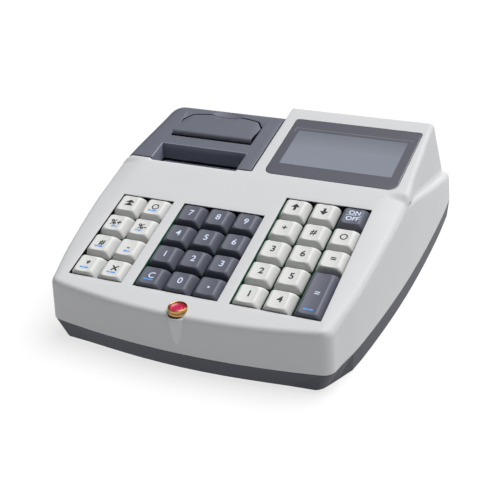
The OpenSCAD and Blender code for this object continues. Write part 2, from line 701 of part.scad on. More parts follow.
module cover_lever() {
    color(dark_grey) on_pod() {
        intersection() {
            union() {
                translate([lever_left, lever_axis_s, lever_axis_n]) rotate([0, 90, 0])
                    cylinder(h = lever_w, r = lever_r);
                translate([lever_left, lever_axis_s, lever_axis_n]) rotate([90, 0, 90])
                    linear_extrude(lever_w) polygon([
                        [0, -lever_r], [lever_l, -lever_r], [lever_l, -0.1],
                        [lever_l * 0.5, lever_r * 0.75], [0, lever_r]]);
            }
            translate([0, lever_axis_s, -10]) linear_extrude(20) lever_plan(0);
        }
        translate([lever_left - lever_gap - 1, lever_axis_s, lever_axis_n]) rotate([0, 90, 0])
            cylinder(h = lever_w + 2 * lever_gap + 2, r = 1.2);
    }
}

// ---------- Displays ----------

module display_window() {
    color("dimgray", 0.8) on_pod() translate([window_left, window_at, -window_t])
        linear_extrude(window_t) round_rect(window_w, window_l, window_corner_r);
}
module lcd_module() {
    on_pod() translate([0, window_at + lcd_in, 0]) {
        color("lightslategray") translate([lcd_left - 2, -2, -window_t - 3])
            cube([lcd_w + 4, lcd_l + 4, 2.9]);
        color(board_green) translate([lcd_left - 4, -5, -window_t - 3 - board_t])
            cube([lcd_w + 8, lcd_l + 10, board_t]);
    }
}
module customer_window() {
    color("dimgray", 0.8) on_slope() translate([guest_left, guest_at, -window_t])
        cube([guest_w, guest_l, window_t]);
}
module customer_lcd() {
    color("lightslategray") on_slope() translate([guest_left + 6, guest_at + 5, -window_t - 4.2])
        cube([guest_w - 12, guest_l - 10, 4]);
}

// ---------- Keyboard ----------

module keyboard_pcb() {
    color(board_green) on_deck() translate([keys_right - board_half, -2, board_top_n - board_t])
        cube([2 * board_half, board_l, board_t]);
}
module key_switches() {
    color("black") on_deck() for (k = KEYS) translate([key_x(k), key_v(k), board_top_n])
        difference() {
            translate([-switch_w / 2, -switch_w / 2, 0]) cube([switch_w, switch_w, switch_h]);
            translate([0, 0, -1]) cylinder(h = switch_h + 2, r = stem_r + stem_clear);
        }
}
// One key cap: sloping sides, a finger dish, a hollow underside and a stem.
module key_cap(k) {
    l = cap_l(k);
    top_w = cap_w - cap_side_slope;
    top_l = l - cap_end_slope;
    dish_r = (top_w * top_w / 4 + dish_depth * dish_depth) / (2 * dish_depth);
    color(k[5] == "dark" ? dark_grey : "whitesmoke")
    on_deck() translate([key_x(k), key_v(k), 0]) {
        difference() {
            hull() {
                translate([-cap_w / 2, -l / 2, skirt_n]) linear_extrude(1) round_rect(cap_w, l, 1, $fn = 12);
                translate([-top_w / 2, -top_l / 2, key_rise - tiny])
                    linear_extrude(tiny) round_rect(top_w, top_l, 1.4, $fn = 16);
            }
            translate([0, 0, key_rise + dish_r - dish_depth]) rotate([90, 0, 0])
                cylinder(h = l, r = dish_r, center = true, $fn = 96);
            hull() {
                translate([-cap_w / 2 + cap_wall, -l / 2 + cap_wall, skirt_n - tiny])
                    cube([cap_w - 2 * cap_wall, l - 2 * cap_wall, tiny]);
                translate([-top_w / 2 + cap_wall, -top_l / 2 + cap_wall, key_rise - dish_depth - cap_wall])
                    cube([top_w - 2 * cap_wall, top_l - 2 * cap_wall, tiny]);
            }
        }
        translate([0, 0, stem_end_n])
            cylinder(h = key_rise - dish_depth - cap_wall / 2 - stem_end_n, r = stem_r);
    }
}

// ---------- Inside ----------

module main_pcb() {
    color(board_green) translate([main_board[0], main_board[1], board_z])
        cube([main_board[2], main_board[3], board_t]);
}
battery_x = 14;
battery_y = front_y + 30;
battery_w = 58;
battery_d = 50;
module battery_pack() {
    color("royalblue") translate([battery_x, battery_y, base_z + floor_t])
        for (k = [0:3]) translate([0, 7 + k * 12, 7]) rotate([0, 90, 0])
            cylinder(h = battery_w, r = 6.9);
}
module rear_connectors() {
    color("dimgray") for (s = sockets) {
        face_y = rear_y - rear_sag(s[0]) - 3;
        translate([s[0] - s[1] / 2, face_y - 14, board_z + board_t]) difference() {
            cube([s[1], 14, s[2] + socket_low - board_z - board_t]);
            translate([1.5, 3, socket_low - board_z - board_t + 1.5])
                cube([s[1] - 3, 20, s[2] - 3]);
        }
    }
}

// ---------- Printer ----------

module plate(x) {
    on_x(0, 0, x) linear_extrude(plate_t) difference() {
        polygon([
            [platen_y - 10, frame_low], [roll_y + 12, frame_low], [roll_y + 12, roll_z - 6],
            [roll_y + 7, roll_z + 5], [roll_y - 7, roll_z + 5], [roll_y - 12, roll_z - 8],
            [platen_y + 12, platen_z - 6], [platen_y + 7, platen_z + 6], [platen_y - 10, platen_z + 6]]);
        translate([roll_y - axle_r - shaft_clear, roll_z])
            square([2 * (axle_r + shaft_clear), 20]);
    }
}
axle_r = 3;
module printer_frame() {
    color("dimgray") difference() {
        union() {
            for (x = [plate_left, plate_right]) plate(x);
            translate([plate_left, platen_y - 10, frame_low])
                cube([2 * plate_in + 2 * plate_t, roll_y - platen_y + 22, 2]);
            on_x(idler_y, idler_z, gear_x) cylinder(h = plate_left - gear_x + 1, r = 1.5);
        }
        on_x(platen_y, platen_z, plate_left - 1)
            cylinder(h = 2 * plate_in + 2 * plate_t + 2, r = shaft_r + shaft_clear);
        on_x(roll_y, roll_z, plate_left - 1)
            cylinder(h = 2 * plate_in + 2 * plate_t + 2, r = axle_r + shaft_clear);
        on_x(pinion_y, pinion_z, plate_left - 1) cylinder(h = plate_t + 2, r = 2);
    }
}
module print_head() {
    head_y = platen_y - platen_r - 0.3 - 2.5;
    color("silver") translate([-paper_mid - paper_w / 2, head_y, platen_z - 9])
        cube([paper_w, 2.5, 14]);
    color("silver") translate([-paper_mid - plate_in + 0.3, head_y - 2, frame_low + 2])
        cube([2 * plate_in - 0.6, 2, platen_z + 3 - frame_low]);
}
module platen_roller() {
    color("black") on_x(platen_y, platen_z, -paper_mid - paper_w / 2)
        cylinder(h = paper_w, r = platen_r);
    color("silver") on_x(platen_y, platen_z, gear_x)
        cylinder(h = plate_right + plate_t + 1 - gear_x, r = shaft_r);
}

// Radius, angle and outline of an involute spur gear with its own backlash.
function inv(a) = tan(a) * 180 / PI - a;
pressure_angle = 20;
motor_shaft_r = 1;
backlash = 0.16;
function gear_points(teeth) = let (
    pitch_r = gear_module * teeth / 2, base_r = pitch_r * cos(pressure_angle),
    tip_r = pitch_r + 0.9 * gear_module, root_r = pitch_r - 1.25 * gear_module,
    half = 90 / teeth + inv(pressure_angle) - backlash / pitch_r * 90 / PI,
    start_r = max(base_r, root_r + 0.05),
    flank = [for (k = [0:3]) let (r = start_r + (tip_r - start_r) * k / 3)
                 [r, half - inv(acos(min(1, base_r / r)))]],
    tooth = concat([[root_r, flank[0][1]]], flank))
    [for (t = [0:teeth - 1]) let (mid = t * 360 / teeth)
        each concat([for (p = tooth) p[0] * [cos(mid - p[1]), sin(mid - p[1])]],
                    [for (k = [len(tooth) - 1:-1:0]) let (p = tooth[k])
                        p[0] * [cos(mid + p[1]), sin(mid + p[1])]])];
module gear(teeth, y, z, turn, bore_r) {
    on_x(y, z, gear_x) difference() {
        rotate([0, 0, turn]) linear_extrude(gear_w) polygon(gear_points(teeth));
        translate([0, 0, -1]) cylinder(h = gear_w + 2, r = bore_r);
    }
}
// Turn each gear so that a tooth meets a gap on the line between the axes.
line_a = atan2(idler_z - platen_z, idler_y - platen_y);
line_b = atan2(pinion_z - idler_z, pinion_y - idler_y);
idler_phase = line_a + 180 + 180 / idler_teeth;
module platen_gear() {
    color("ivory") gear(platen_teeth, platen_y, platen_z, line_a, shaft_r);
}
module idler_gear() {
    color("ivory") gear(idler_teeth, idler_y, idler_z, idler_phase, 1.5 + shaft_clear);
}
module motor_pinion() {
    // How far the idler's tooth grid is out of step with the second line of centres.
    idler_off = (line_b - idler_phase) / (360 / idler_teeth);
    color("gold") {
        gear(pinion_teeth, pinion_y, pinion_z, line_b + 180 + 180 / pinion_teeth
             + (idler_off - round(idler_off)) * 360 / pinion_teeth, motor_shaft_r);
        on_x(pinion_y, pinion_z, gear_x)
            cylinder(h = plate_left + plate_t + 6 - gear_x, r = motor_shaft_r);
    }
}
module stepper_motor() {
    color("silver") on_x(pinion_y, pinion_z, plate_left + plate_t) difference() {
        cylinder(h = 15, r = motor_r);
        translate([0, 0, -1]) cylinder(h = 7.5, r = motor_shaft_r + shaft_clear);
    }
}
module paper_roll() {
    color("white") on_x(roll_y, roll_z, -paper_mid - paper_w / 2) difference() {
        cylinder(h = paper_w, r = roll_r, $fn = 96);
        translate([0, 0, -1]) cylinder(h = paper_w + 2, r = core_r);
    }
}
module roll_axle() {
    color("dimgray") {
        on_x(roll_y, roll_z, plate_left - 1)
            cylinder(h = 2 * plate_in + 2 * plate_t + 2, r = axle_r);
        on_x(roll_y, roll_z, -paper_mid - paper_w / 2)
            cylinder(h = paper_w, r = core_r);
    }
}

// ---------- Seal ----------

module seal_cup() {
    color("goldenrod") translate([0, cup_y, cup_seat_z]) rotate_extrude()
        polygon([[0, 0], [cup_r, 0], [cup_r, cup_h - 0.4], [cup_r - 0.4, cup_h],
                 [cup_r - cup_wall, cup_h], [cup_r - cup_wall, 1], [0, 1]]);
}
module seal_wax() {
    color("crimson") translate([0, cup_y, cup_seat_z + 1]) rotate_extrude()
        polygon([[0, 0], [cup_r - cup_wall, 0], [cup_r - cup_wall, cup_h - 1.8],
                 [cup_r - 2 * cup_wall, cup_h - 1.4], [0, cup_h - 1.4]]);
}

lower_housing();
upper_housing();
printer_cover();
cover_lever();
display_window();
lcd_module();
customer_window();
customer_lcd();
keyboard_pcb();
key_switches();
main_pcb();
printer_frame();
print_head();
platen_roller();
platen_gear();
idler_gear();
stepper_motor();
motor_pinion();
paper_roll();
roll_axle();
seal_cup();
seal_wax();
rubber_feet();
case_screws();
battery_pack();
rear_connectors();
for (k = KEYS) key_cap(k);
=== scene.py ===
import math

import bmesh
import bpy
import numpy as np
from mathutils import Matrix


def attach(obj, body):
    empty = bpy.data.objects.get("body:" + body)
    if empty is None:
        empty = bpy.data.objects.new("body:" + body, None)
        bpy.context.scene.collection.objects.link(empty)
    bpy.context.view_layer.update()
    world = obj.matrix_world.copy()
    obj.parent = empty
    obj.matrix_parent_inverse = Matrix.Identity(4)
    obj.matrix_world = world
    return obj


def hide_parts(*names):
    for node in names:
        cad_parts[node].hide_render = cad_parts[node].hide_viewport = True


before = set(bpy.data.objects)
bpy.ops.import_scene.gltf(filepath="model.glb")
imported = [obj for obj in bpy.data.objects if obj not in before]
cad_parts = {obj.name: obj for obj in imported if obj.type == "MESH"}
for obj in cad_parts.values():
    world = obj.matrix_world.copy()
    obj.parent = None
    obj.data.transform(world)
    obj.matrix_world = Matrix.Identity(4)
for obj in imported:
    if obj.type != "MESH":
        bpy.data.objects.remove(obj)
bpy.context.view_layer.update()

bl_info = {
    "name": "Ticket register",
    "version": (1, 0, 0),
    "blender": (4, 5, 0),
    "location": "3D View > Sidebar > Register",
    "description": "Builds the visible surfaces and finishes of a compact ticket register",
    "category": "Object",
}

MM = 0.001


# ---------- Settings ----------


def length(value, name, text):
    """A length property, given in millimetres."""
    return bpy.props.FloatProperty(
        name=name, description=text, default=value * MM, unit="LENGTH", precision=5
    )


def angle(value, name, text):
    """An angle property, given in degrees."""
    return bpy.props.FloatProperty(
        name=name, description=text, default=math.radians(value), unit="ROTATION"
    )


def finish_colour(value, name, text):
    """A colour property that holds an sRGB hex value."""
    return bpy.props.StringProperty(name=name, description=text, default=value)


class HousingSizes(bpy.types.PropertyGroup):
    body_w: length(204, "Width", "Width of the housing at its widest place")
    body_d: length(260, "Depth", "Depth from the front bow to the rear bow")
    belly_at: length(141, "Widest place", "Distance from the front to the widest place")
    side_r: length(930, "Side radius", "Radius of the sides ahead of the widest place")
    rear_side_r: length(1500, "Rear side radius", "Radius of the sides behind it")
    bow_r: length(467, "Front bow", "Radius of the bowed front in plan")
    rear_r: length(1100, "Rear bow", "Radius of the bowed rear in plan")
    front_corner_r: length(5, "Front corner", "Radius of the front corners in plan")
    rear_corner_r: length(12, "Rear corner", "Radius of the rear corners in plan")
    edge_r: length(4, "Long edge", "Radius of the long top edges")
    front_edge_r: length(2.5, "Front edge", "Radius of the front's top edge")
    crease_at: length(85.6, "Crease", "Distance of the soft crease from the middle")
    crease_drop: length(1.6, "Crease drop", "Fall of the strip outside the crease")
    fold_blend: length(5, "Fold blend", "Length over which the fold is rounded on each side")
    draft: length(1, "Draft", "How far the walls spread on their way to the seam")
    seam_z: length(13.2, "Seam", "Height of the seam above the table")
    deck_h: length(42.9, "Deck height", "Height at the keyboard's front edge")
    deck_in: length(16.3, "Deck margin", "Distance from the front to the keyboard")
    fold_at: length(104, "Fold", "Distance from the keyboard's front to the fold")
    ridge_at: length(185.8, "Pod ridge", "Distance from the keyboard's front")
    slope_at: length(226, "Rear slope", "Foot of the rear slope, from the keyboard")
    shoulder_z: length(37, "Shoulder", "Height at the foot of the rear slope")
    pod_front_half: length(101, "Pod front", "Half width of the pod at the fold")
    pod_rear_half: length(96.2, "Pod rear", "Half width of the pod at its ridge")
    pod_edge_r: length(3, "Pod edge", "Radius of the pod's top edge")
    cover_edge_r: length(7, "Cover edge", "Radius of the cover's outer top edge")
    boss_out: length(2, "Seal boss", "How far the seal boss stands out of the front")
    deck_tilt: angle(15.5, "Deck slope", "Slope of the keyboard deck")
    pod_tilt: angle(12.5, "Pod slope", "Slope of the pod and of the cover")


class KeyboardSizes(bpy.types.PropertyGroup):
    keys_right: length(1, "Offset", "Keyboard's middle to the right of the housing's")
    key_pitch: length(19.05, "Pitch", "Distance between the centres of two keys")
    key_gap: length(1.75, "Gap", "Gap between two key caps")
    key_clear: length(0.41, "Clearance", "Between a cap and its opening")
    block_gap: length(7.5, "Strip", "Strip of deck between two banks of keys")
    key_rise: length(2.5, "Rise", "How far the caps stand above the deck")
    cap_h: length(7, "Cap height", "Height of a cap")
    cap_side_slope: length(5.3, "Side slope", "Width lost from skirt to top")
    cap_end_slope: length(2.1, "End slope", "Length lost from skirt to top")
    rear_slope: length(1.7, "Rear slope", "Further length lost at a cap's rear")
    dish_depth: length(0.5, "Dish", "Depth of the finger dish")


class PrinterSizes(bpy.types.PropertyGroup):
    cover_at: length(111, "Cover", "Front edge of the cover, from the keyboard")
    cover_gap: length(0.5, "Gap", "Gap all round the cover")
    cover_t: length(2, "Wall", "Thickness of the cover")
    cover_right: length(6, "Right edge", "Cover's right edge left of the middle")
    cover_ridge_at: length(175.6, "Cover ridge", "Distance from the keyboard's front")
    hinge_at: length(201, "Hinge", "Axis of the cover's hinge, from the keyboard")
    hinge_z: length(50, "Hinge height", "Height of the hinge's axis above the table")
    exit_w: length(64, "Exit width", "Width of the paper exit")
    exit_d: length(17, "Exit depth", "Depth of the paper exit from front to rear")
    paper_mid: length(48.5, "Paper middle", "Paper's middle left of the housing's")
    lever_w: length(60, "Lever width", "Width of the release lever")
    lever_at: length(141.5, "Lever", "Axis of the release lever, from the keyboard")
    lever_l: length(26, "Lever length", "Length of the release lever")
    lever_r: length(2.4, "Lever edge", "Radius of the lever's front edge")
    lever_gap: length(0.6, "Lever gap", "Gap round the lever")
    window_w: length(89.6, "Window width", "Width of the display window")
    window_l: length(63.2, "Window length", "Length along the slope")
    window_in: length(8, "Window margin", "Between the pod's left wall and the window")
    window_at: length(7.4, "Window place", "Distance from the fold")
    lcd_w: length(76.6, "Glass width", "Width of the visible glass")
    lcd_l: length(38, "Glass length", "Length of the visible glass")
    cup_r: length(5.75, "Cup radius", "Radius of the seal cup")
    cup_h: length(5, "Cup height", "Height of the seal cup")
    cup_in: length(0.9, "Cup setback", "How far the cup stands behind the boss")
    cup_top: length(42.4, "Cup rim", "Height of the cup's rim above the table")


class FinishColours(bpy.types.PropertyGroup):
    housing: finish_colour("#C2C3C5", "Housing", "Moulded white of the upper housing")
    base: finish_colour("#40424B", "Base", "Moulded grey of the lower housing")
    cover: finish_colour("#5D606B", "Cover", "Moulded grey of the cover and lever")
    light_key: finish_colour("#CACBC9", "Light keys", "Ivory white key caps")
    dark_key: finish_colour("#575A66", "Dark keys", "Slate key caps")
    window: finish_colour("#55565F", "Window", "Printed border of the windows")
    glass: finish_colour("#818691", "Display glass", "Unlit liquid crystal")
    seal: finish_colour("#B02044", "Seal", "Sealing compound")
    brass: finish_colour("#BD965D", "Brass", "Turned brass of the seal cup")
    board: finish_colour("#0E5A37", "Board", "Solder mask")
    ink_black: finish_colour("#1B1B1F", "Black ink", "Legends on light keys")
    ink_white: finish_colour("#CBD5EA", "White ink", "Legends on dark keys")
    ink_blue: finish_colour("#4E93D9", "Blue ink", "Second marks")
    floor: finish_colour("#7E7E7E", "Floor", "Studio sweep")


def direction(value, name, text, subtype="XYZ"):
    """A vector property in the frame's metres."""
    return bpy.props.FloatVectorProperty(name=name, description=text, size=3, subtype=subtype,
                                         default=value)


class StudioSettings(bpy.types.PropertyGroup):
    camera_at: direction((0.2530, -0.5579, 0.3519), "Camera", "Camera position", "TRANSLATION")
    camera_forward: direction((-0.37468, 0.79158, -0.48271), "View", "Direction of view")
    camera_right: direction((0.91395, 0.40288, -0.04872), "Right", "What is right in the picture")
    lens: bpy.props.FloatProperty(
        name="Focal length", description="On a 36 mm sensor", default=73.56, unit="CAMERA")
    key_from: direction((0.27, 0.32, 0.90), "Key light", "Where the key light comes from")
    key_strength: bpy.props.FloatProperty(
        name="Key strength", description="Irradiance of the key light", default=4.5)
    softness: angle(50, "Softness", "Angle that the key light fills")
    sky: bpy.props.FloatProperty(
        name="Surround", description="Strength of the white surround", default=0.09)


# The banks of keys from left to right, each from its rear row to its front row. A key is given
# as its name, its main mark and, where it has one, its second mark.
BANKS = (
    ("page_up/double_up mode/ring/bar", "percent_plus/%+/left percent_minus/%-/right",
     "price/#/bar void/-/left", "function/*/bar quantity/times/bar"),
    ("7/7 8/8 9/9", "4/4 5/5 6/6", "1/1 2/2 3/3", "clear_entry/C/bar 0/0 point/point"),
    ("up/up down/down power/on_off", "department/+ lookup/# payment/ring",
     "group_3/3 group_6/6 subtotal/=", "group_2/2 group_5/5 total/=/bar", "group_1/1 group_4/4"),
)
DARK_BANK = 1
DARK_KEYS = ("power", "total")
TALL_KEY = "total"
# Radius of the round edge of a key opening, which lies outside the opening.
KEY_EDGE = 0.45
# Middle and width of each socket in the rear.
SOCKETS = ((-34, 12), (-12, 12), (10, 12), (30, 9))
# Grid columns of the housing within this distance of the middle run straight to both ends.
STRAIGHT = 70
# Left edge, lower edge, width and length of the customer's window and of its glass, on the pod's
# rear slope.
CUSTOMER = (13, 14, 66, 24)
CUSTOMER_GLASS = (19, 19, 54, 14)
# Lengths over which the front and the rear bow fade out along the sides.
FRONT_FADE, REAR_FADE = 39, 28
# Lengths before and behind the fold over which the crease swells and shrinks.
SWELL, SHRINK = 45, 25
# Half the length over which the ridges of the pod and of the cover are rounded.
POD_BLEND, COVER_BLEND = 2, 9


# ---------- Shape functions ----------


def smooth(t):
    """Rises from 0 to 1 as three t squared less two t cubed."""
    t = np.clip(t, 0, 1)
    return t * t * (3 - 2 * t)


def round_drop(r, d):
    """Fall of a quarter-round edge of radius r at distance d inside it."""
    d = np.clip(d, 0, r)
    return r - np.sqrt(np.maximum(0, r * r - (r - d) ** 2))


def quarter(r, steps=8):
    """Distances from an edge at which a quarter round of radius r gets its points."""
    return r * (1 - np.cos(np.linspace(0, math.pi / 2, steps + 1)))


def filled(stops, step):
    """Sorted stops with equal steps of at most the given size between them."""
    stops = sorted(stops)
    out = [stops[0]]
    for a, b in zip(stops[:-1], stops[1:]):
        if b - a > 1e-4:
            n = max(1, math.ceil((b - a) / step))
            out += [a + (b - a) * k / n for k in range(1, n + 1)]
    return np.array(out)


def at(values, value):
    """Number of the line that lies at a value."""
    return int(np.argmin(np.abs(np.asarray(values) - value)))


class Tilt:
    """A plane through (0, y0, z0) turned about X: v runs up the slope, n stands square to it."""

    def __init__(self, y0, z0, turn):
        self.y0, self.z0, self.c, self.s = y0, z0, math.cos(turn), math.sin(turn)

    def world(self, x, v, n):
        """The frame's point at x, v up the slope and n above it."""
        x, v, n = np.broadcast_arrays(x, v, n)
        return np.stack([x, self.y0 + v * self.c - n * self.s,
                         self.z0 + v * self.s + n * self.c], axis=-1)

    def depth(self, v):
        """The frame's Y at v on the plane."""
        return self.y0 + v * self.c

    def along(self, y):
        """The v of a point on the plane, from the frame's Y."""
        return (y - self.y0) / self.c


class Plan:
    """Places and profile functions of the register in millimetres, from its settings."""

    def __init__(self, scene):
        for group in (scene.register_housing, scene.register_keyboard, scene.register_printer):
            for prop in group.bl_rna.properties:
                if prop.type == "FLOAT":
                    value = getattr(group, prop.identifier)
                    metric = round(value / MM, 4) if prop.unit == "LENGTH" else value
                    setattr(self, prop.identifier, metric)
        self.front_y = (self.boss_out - self.body_d - self.draft) / 2
        self.rear_y = self.front_y + self.body_d
        self.belly_y = self.front_y + self.belly_at
        self.deck_y = self.front_y + self.deck_in
        for name in ("fold", "ridge", "slope", "cover", "cover_ridge", "hinge"):
            setattr(self, name + "_y", self.deck_y + getattr(self, name + "_at"))
        self.fold_z = self.deck_h + self.fold_at * math.tan(self.deck_tilt)
        self.ridge_z = self.pod_z(self.ridge_y)
        turn = math.atan2(self.ridge_z - self.shoulder_z, self.slope_y - self.ridge_y)
        self.deck = Tilt(self.deck_y, self.deck_h, self.deck_tilt)
        self.pod = Tilt(self.fold_y, self.fold_z, self.pod_tilt)
        self.slope = Tilt(self.ridge_y, self.ridge_z, -turn)
        self.cap_w = self.key_pitch - self.key_gap
        self.bank_w = [self.key_span(len(bank[0].split())) + 2 * self.key_clear for bank in BANKS]
        self.bank_l = [self.key_span(len(bank)) + 2 * self.key_clear for bank in BANKS]
        left = self.keys_right - (sum(self.bank_w) + 2 * self.block_gap) / 2
        self.bank_x = [left + sum(self.bank_w[:b]) + b * self.block_gap for b in range(3)]
        self.pod_wall_x = self.cover_gap - self.cover_right
        self.display = (self.pod_wall_x + self.window_in, self.window_at, self.window_w,
                        self.window_l)
        self.cup_y = self.front_y - self.boss_out + self.cup_r + self.cup_in
        self.lever_s = (self.lever_at - self.fold_at) / math.cos(self.pod_tilt)
        self.lever_left = -self.paper_mid - self.lever_w / 2
        self.exit_x = (-self.paper_mid - self.exit_w / 2, -self.paper_mid + self.exit_w / 2)
        # The side outline as a dense curve: a round corner that runs on into the long side.
        d = np.linspace(0, self.body_d, 1041)
        y0 = self.front_y + d
        e = self.body_d - d
        x = self.side_x(y0)
        for r, k in ((self.front_corner_r, d), (self.rear_corner_r, e)):
            k = np.clip(k, 0, r)
            x = x - r + np.sqrt(np.maximum(0, r * r - (r - k) ** 2))
        y = y0 + self.front_share(d) * x * x / (2 * self.bow_r)
        self.side_curve = (d, x, y - self.rear_share(e) * x * x / (2 * self.rear_r))

    def key_span(self, count):
        """Length of a run of keys from cap edge to cap edge."""
        return count * self.key_pitch - self.key_gap

    def side_x(self, y):
        """Half the width: the widest half less an arc's fall on either side of it."""
        r = np.where(y < self.belly_y, self.side_r, self.rear_side_r)
        return self.body_w / 2 - (y - self.belly_y) ** 2 / (2 * r)

    def front_share(self, d):
        """Share of the front bow at distance d behind the front."""
        return 1 - smooth((d - self.front_corner_r) / FRONT_FADE)

    def rear_share(self, d):
        """Share of the rear bow at distance d before the rear."""
        return 1 - smooth((d - self.rear_corner_r) / REAR_FADE)

    def rail_z(self, y):
        """Height of the lower body: the deck up to the fold, then a straight fall to the rear."""
        fall = (self.fold_z - self.shoulder_z) / (self.slope_y - self.fold_y)
        return np.where(y < self.fold_y, self.deck_h + (y - self.deck_y) * math.tan(self.deck_tilt),
                        self.fold_z - (y - self.fold_y) * fall)

    def pod_z(self, y):
        """Height of the plane that pod and cover share."""
        return self.fold_z + (y - self.fold_y) * math.tan(self.pod_tilt)

    def wedge_z(self, y, ridge, blend):
        """A rising plane, a ridge rounded by a parabola over twice the blend, a falling plane."""
        t = y - ridge
        rise, top = math.tan(self.pod_tilt), self.pod_z(ridge)
        fall = (self.shoulder_z - top) / (self.slope_y - ridge)
        curve = top + (rise + fall) / 2 * t + (fall - rise) / (4 * blend) * (t * t + blend * blend)
        return np.where(t < -blend, self.pod_z(y), np.where(t > blend, top + fall * t, curve))

    def fold_drop(self, y):
        """Fall below the two planes at the fold: a parabola over the blend on each side."""
        bend = math.tan(self.deck_tilt) - math.tan(self.pod_tilt)
        near = np.maximum(0, self.fold_blend - np.abs(y - self.fold_y))
        return bend / (4 * self.fold_blend) * near ** 2

    def crease(self, x, half, y):
        """Fall of the strip outside the crease; it grows towards the fold and shrinks behind it."""
        beyond = np.clip((np.abs(x) - self.crease_at) / np.maximum(half - self.crease_at, 5), 0, 1)
        behind = y - self.fold_y
        swell = smooth((behind + SWELL) / SWELL) * (1 - smooth(behind / SHRINK))
        return self.crease_drop * (1 + 1.2 * swell) * beyond ** 1.25

    def rail_top(self, x, y):
        """Height of the lower body at a point beside the pod."""
        half = self.side_x(y)
        return self.rail_z(y) - round_drop(self.edge_r, half - np.abs(x)) - self.crease(x, half, y)

    def pod_half(self, y):
        """Half the width of the pod: it narrows evenly from the fold to the ridge."""
        share = (y - self.fold_y) / (self.ridge_y - self.fold_y)
        return self.pod_front_half + (self.pod_rear_half - self.pod_front_half) * share


# ---------- Mesh work ----------


class Shell:
    """Collects patches of points and faces and makes one smooth-shaded mesh of them."""

    def __init__(self):
        self.points, self.faces, self.slots, self.count = [], [], [], 0

    def patch(self, grid, keep=None, wrap=False, flip=False, slot=0):
        """Adds quads between neighbours of an (n, m, 3) grid, where keep says so."""
        n, m = grid.shape[:2]
        index = np.arange(n * m).reshape(n, m) + self.count
        if wrap:
            index = np.concatenate([index, index[:, :1]], axis=1)
        quads = np.stack([index[:-1, :-1], index[:-1, 1:], index[1:, 1:], index[1:, :-1]], axis=-1)
        quads = quads[keep] if keep is not None else quads.reshape(-1, 4)
        self.faces += (quads[:, ::-1] if flip else quads).tolist()
        self.slots += [slot] * len(quads)
        self.points.append(grid.reshape(-1, 3))
        self.count += n * m

    def soup(self, points, faces, slot=0):
        """Adds ready points and faces."""
        self.faces += [[k + self.count for k in face] for face in faces]
        self.slots += [slot] * len(faces)
        self.points.append(points)
        self.count += len(points)

    def build(self, name, finishes, body, node, slot, sharp):
        """Makes the collected patches the piece that stands in for a node."""
        mesh = bpy.data.meshes.new(name)
        mesh.from_pydata((np.concatenate(self.points) * MM).tolist(), [], self.faces)
        finish_piece(name, mesh, finishes, body, node, sharp, self.slots)


def finish_piece(name, mesh, finishes, body, node, sharp, slots=None):
    """Gives a mesh its finishes, merges doubles, shades it smooth up to an angle, and links it as
    the piece that stands in for a node of its body."""
    mesh.materials.clear()
    for finish in finishes:
        mesh.materials.append(FINISHES[finish])
    if slots:
        mesh.polygons.foreach_set("material_index", slots)
    work = bmesh.new()
    work.from_mesh(mesh)
    bmesh.ops.remove_doubles(work, verts=work.verts, dist=2e-6)
    bmesh.ops.dissolve_degenerate(work, edges=work.edges, dist=1e-7)
    work.to_mesh(mesh)
    work.free()
    mesh.polygons.foreach_set("use_smooth", [True] * len(mesh.polygons))
    mesh.set_sharp_from_angle(angle=math.radians(sharp))
    piece = linked(name, mesh)
    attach(piece, body)
    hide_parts(node)


def linked(name, data, axes=None, place=(0, 0, 0)):
    """A new object in the scene, with its axes as the columns of a matrix where it is turned."""
    thing = bpy.data.objects.new(name, data)
    bpy.context.scene.collection.objects.link(thing)
    if axes is not None:
        rows = [list(row) + [c] for row, c in zip(axes.tolist(), place)]
        thing.matrix_world = Matrix(rows + [[0, 0, 0, 1]])
    return thing


def welded_copy(node, body, finish, sharp):
    """A merged copy of a CAD node, shaded smooth over its round faces."""
    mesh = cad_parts[node].data.copy()
    finish_piece(node + "_skin", mesh, (finish,), body, node, sharp)


def dress(node, *finishes):
    """Gives a carried-over CAD node its finishes, slot by slot."""
    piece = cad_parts[node]
    if not piece.material_slots:
        piece.data.materials.append(None)
    for k, slot in enumerate(piece.material_slots):
        slot.link = "OBJECT"
        slot.material = FINISHES[finishes[min(k, len(finishes) - 1)]]


def plane_grid(rows, x):
    """Depths of the rows beside the x of every point of a grid."""
    return np.repeat(rows[:, None], x.shape[1], axis=1)


def all_kept(grid, wrap=False):
    """Marks every quad of a grid as kept."""
    return np.ones((len(grid) - 1, len(grid[0]) if wrap else len(grid[0]) - 1), bool)


def cut_out(grid, keep, i0, i1, j0, j1):
    """Drops a rectangle of quads and gives the loop of points round it."""
    keep[i0:i1, j0:j1] = False
    return grid[edge_loop(i0, i1, j0, j1)]


def blend(top, low, steps):
    """Lines in equal steps from one line to another."""
    t = np.linspace(0, 1, steps + 1)[:, None, None]
    return top * (1 - t) + low * t


def parabola(t, start, control, end):
    """Runs from a start towards a control value and turns off it to an end."""
    return (1 - t) ** 2 * start + 2 * t * (1 - t) * control + t * t * end


def circle(steps):
    """Cosines and sines of equal steps round a turn."""
    a = np.linspace(0, 2 * math.pi, steps, endpoint=False)
    return np.cos(a), np.sin(a)


def grown(place, margin):
    """Left, right, lower and upper edge of a window's place with a margin round it."""
    x, v, w, l = place
    return x - margin, x + w + margin, v - margin, v + l + margin


def lean(height):
    """Factor by which a side wall spreads over a height: a hundredth in 70 mm."""
    return 1 + 0.01 * height / 70


def edge_loop(i0, i1, j0, j1):
    """Rows and columns of a rectangle of grid lines, counter-clockwise from above."""
    across, up = np.arange(j0, j1), np.arange(i0, i1)
    rows = np.concatenate([np.full(j1 - j0, i0), up, np.full(j1 - j0, i1), np.arange(i1, i0, -1)])
    cols = np.concatenate([across, np.full(i1 - i0, j1), np.arange(j1, j0, -1),
                           np.full(i1 - i0, j0)])
    return rows, cols


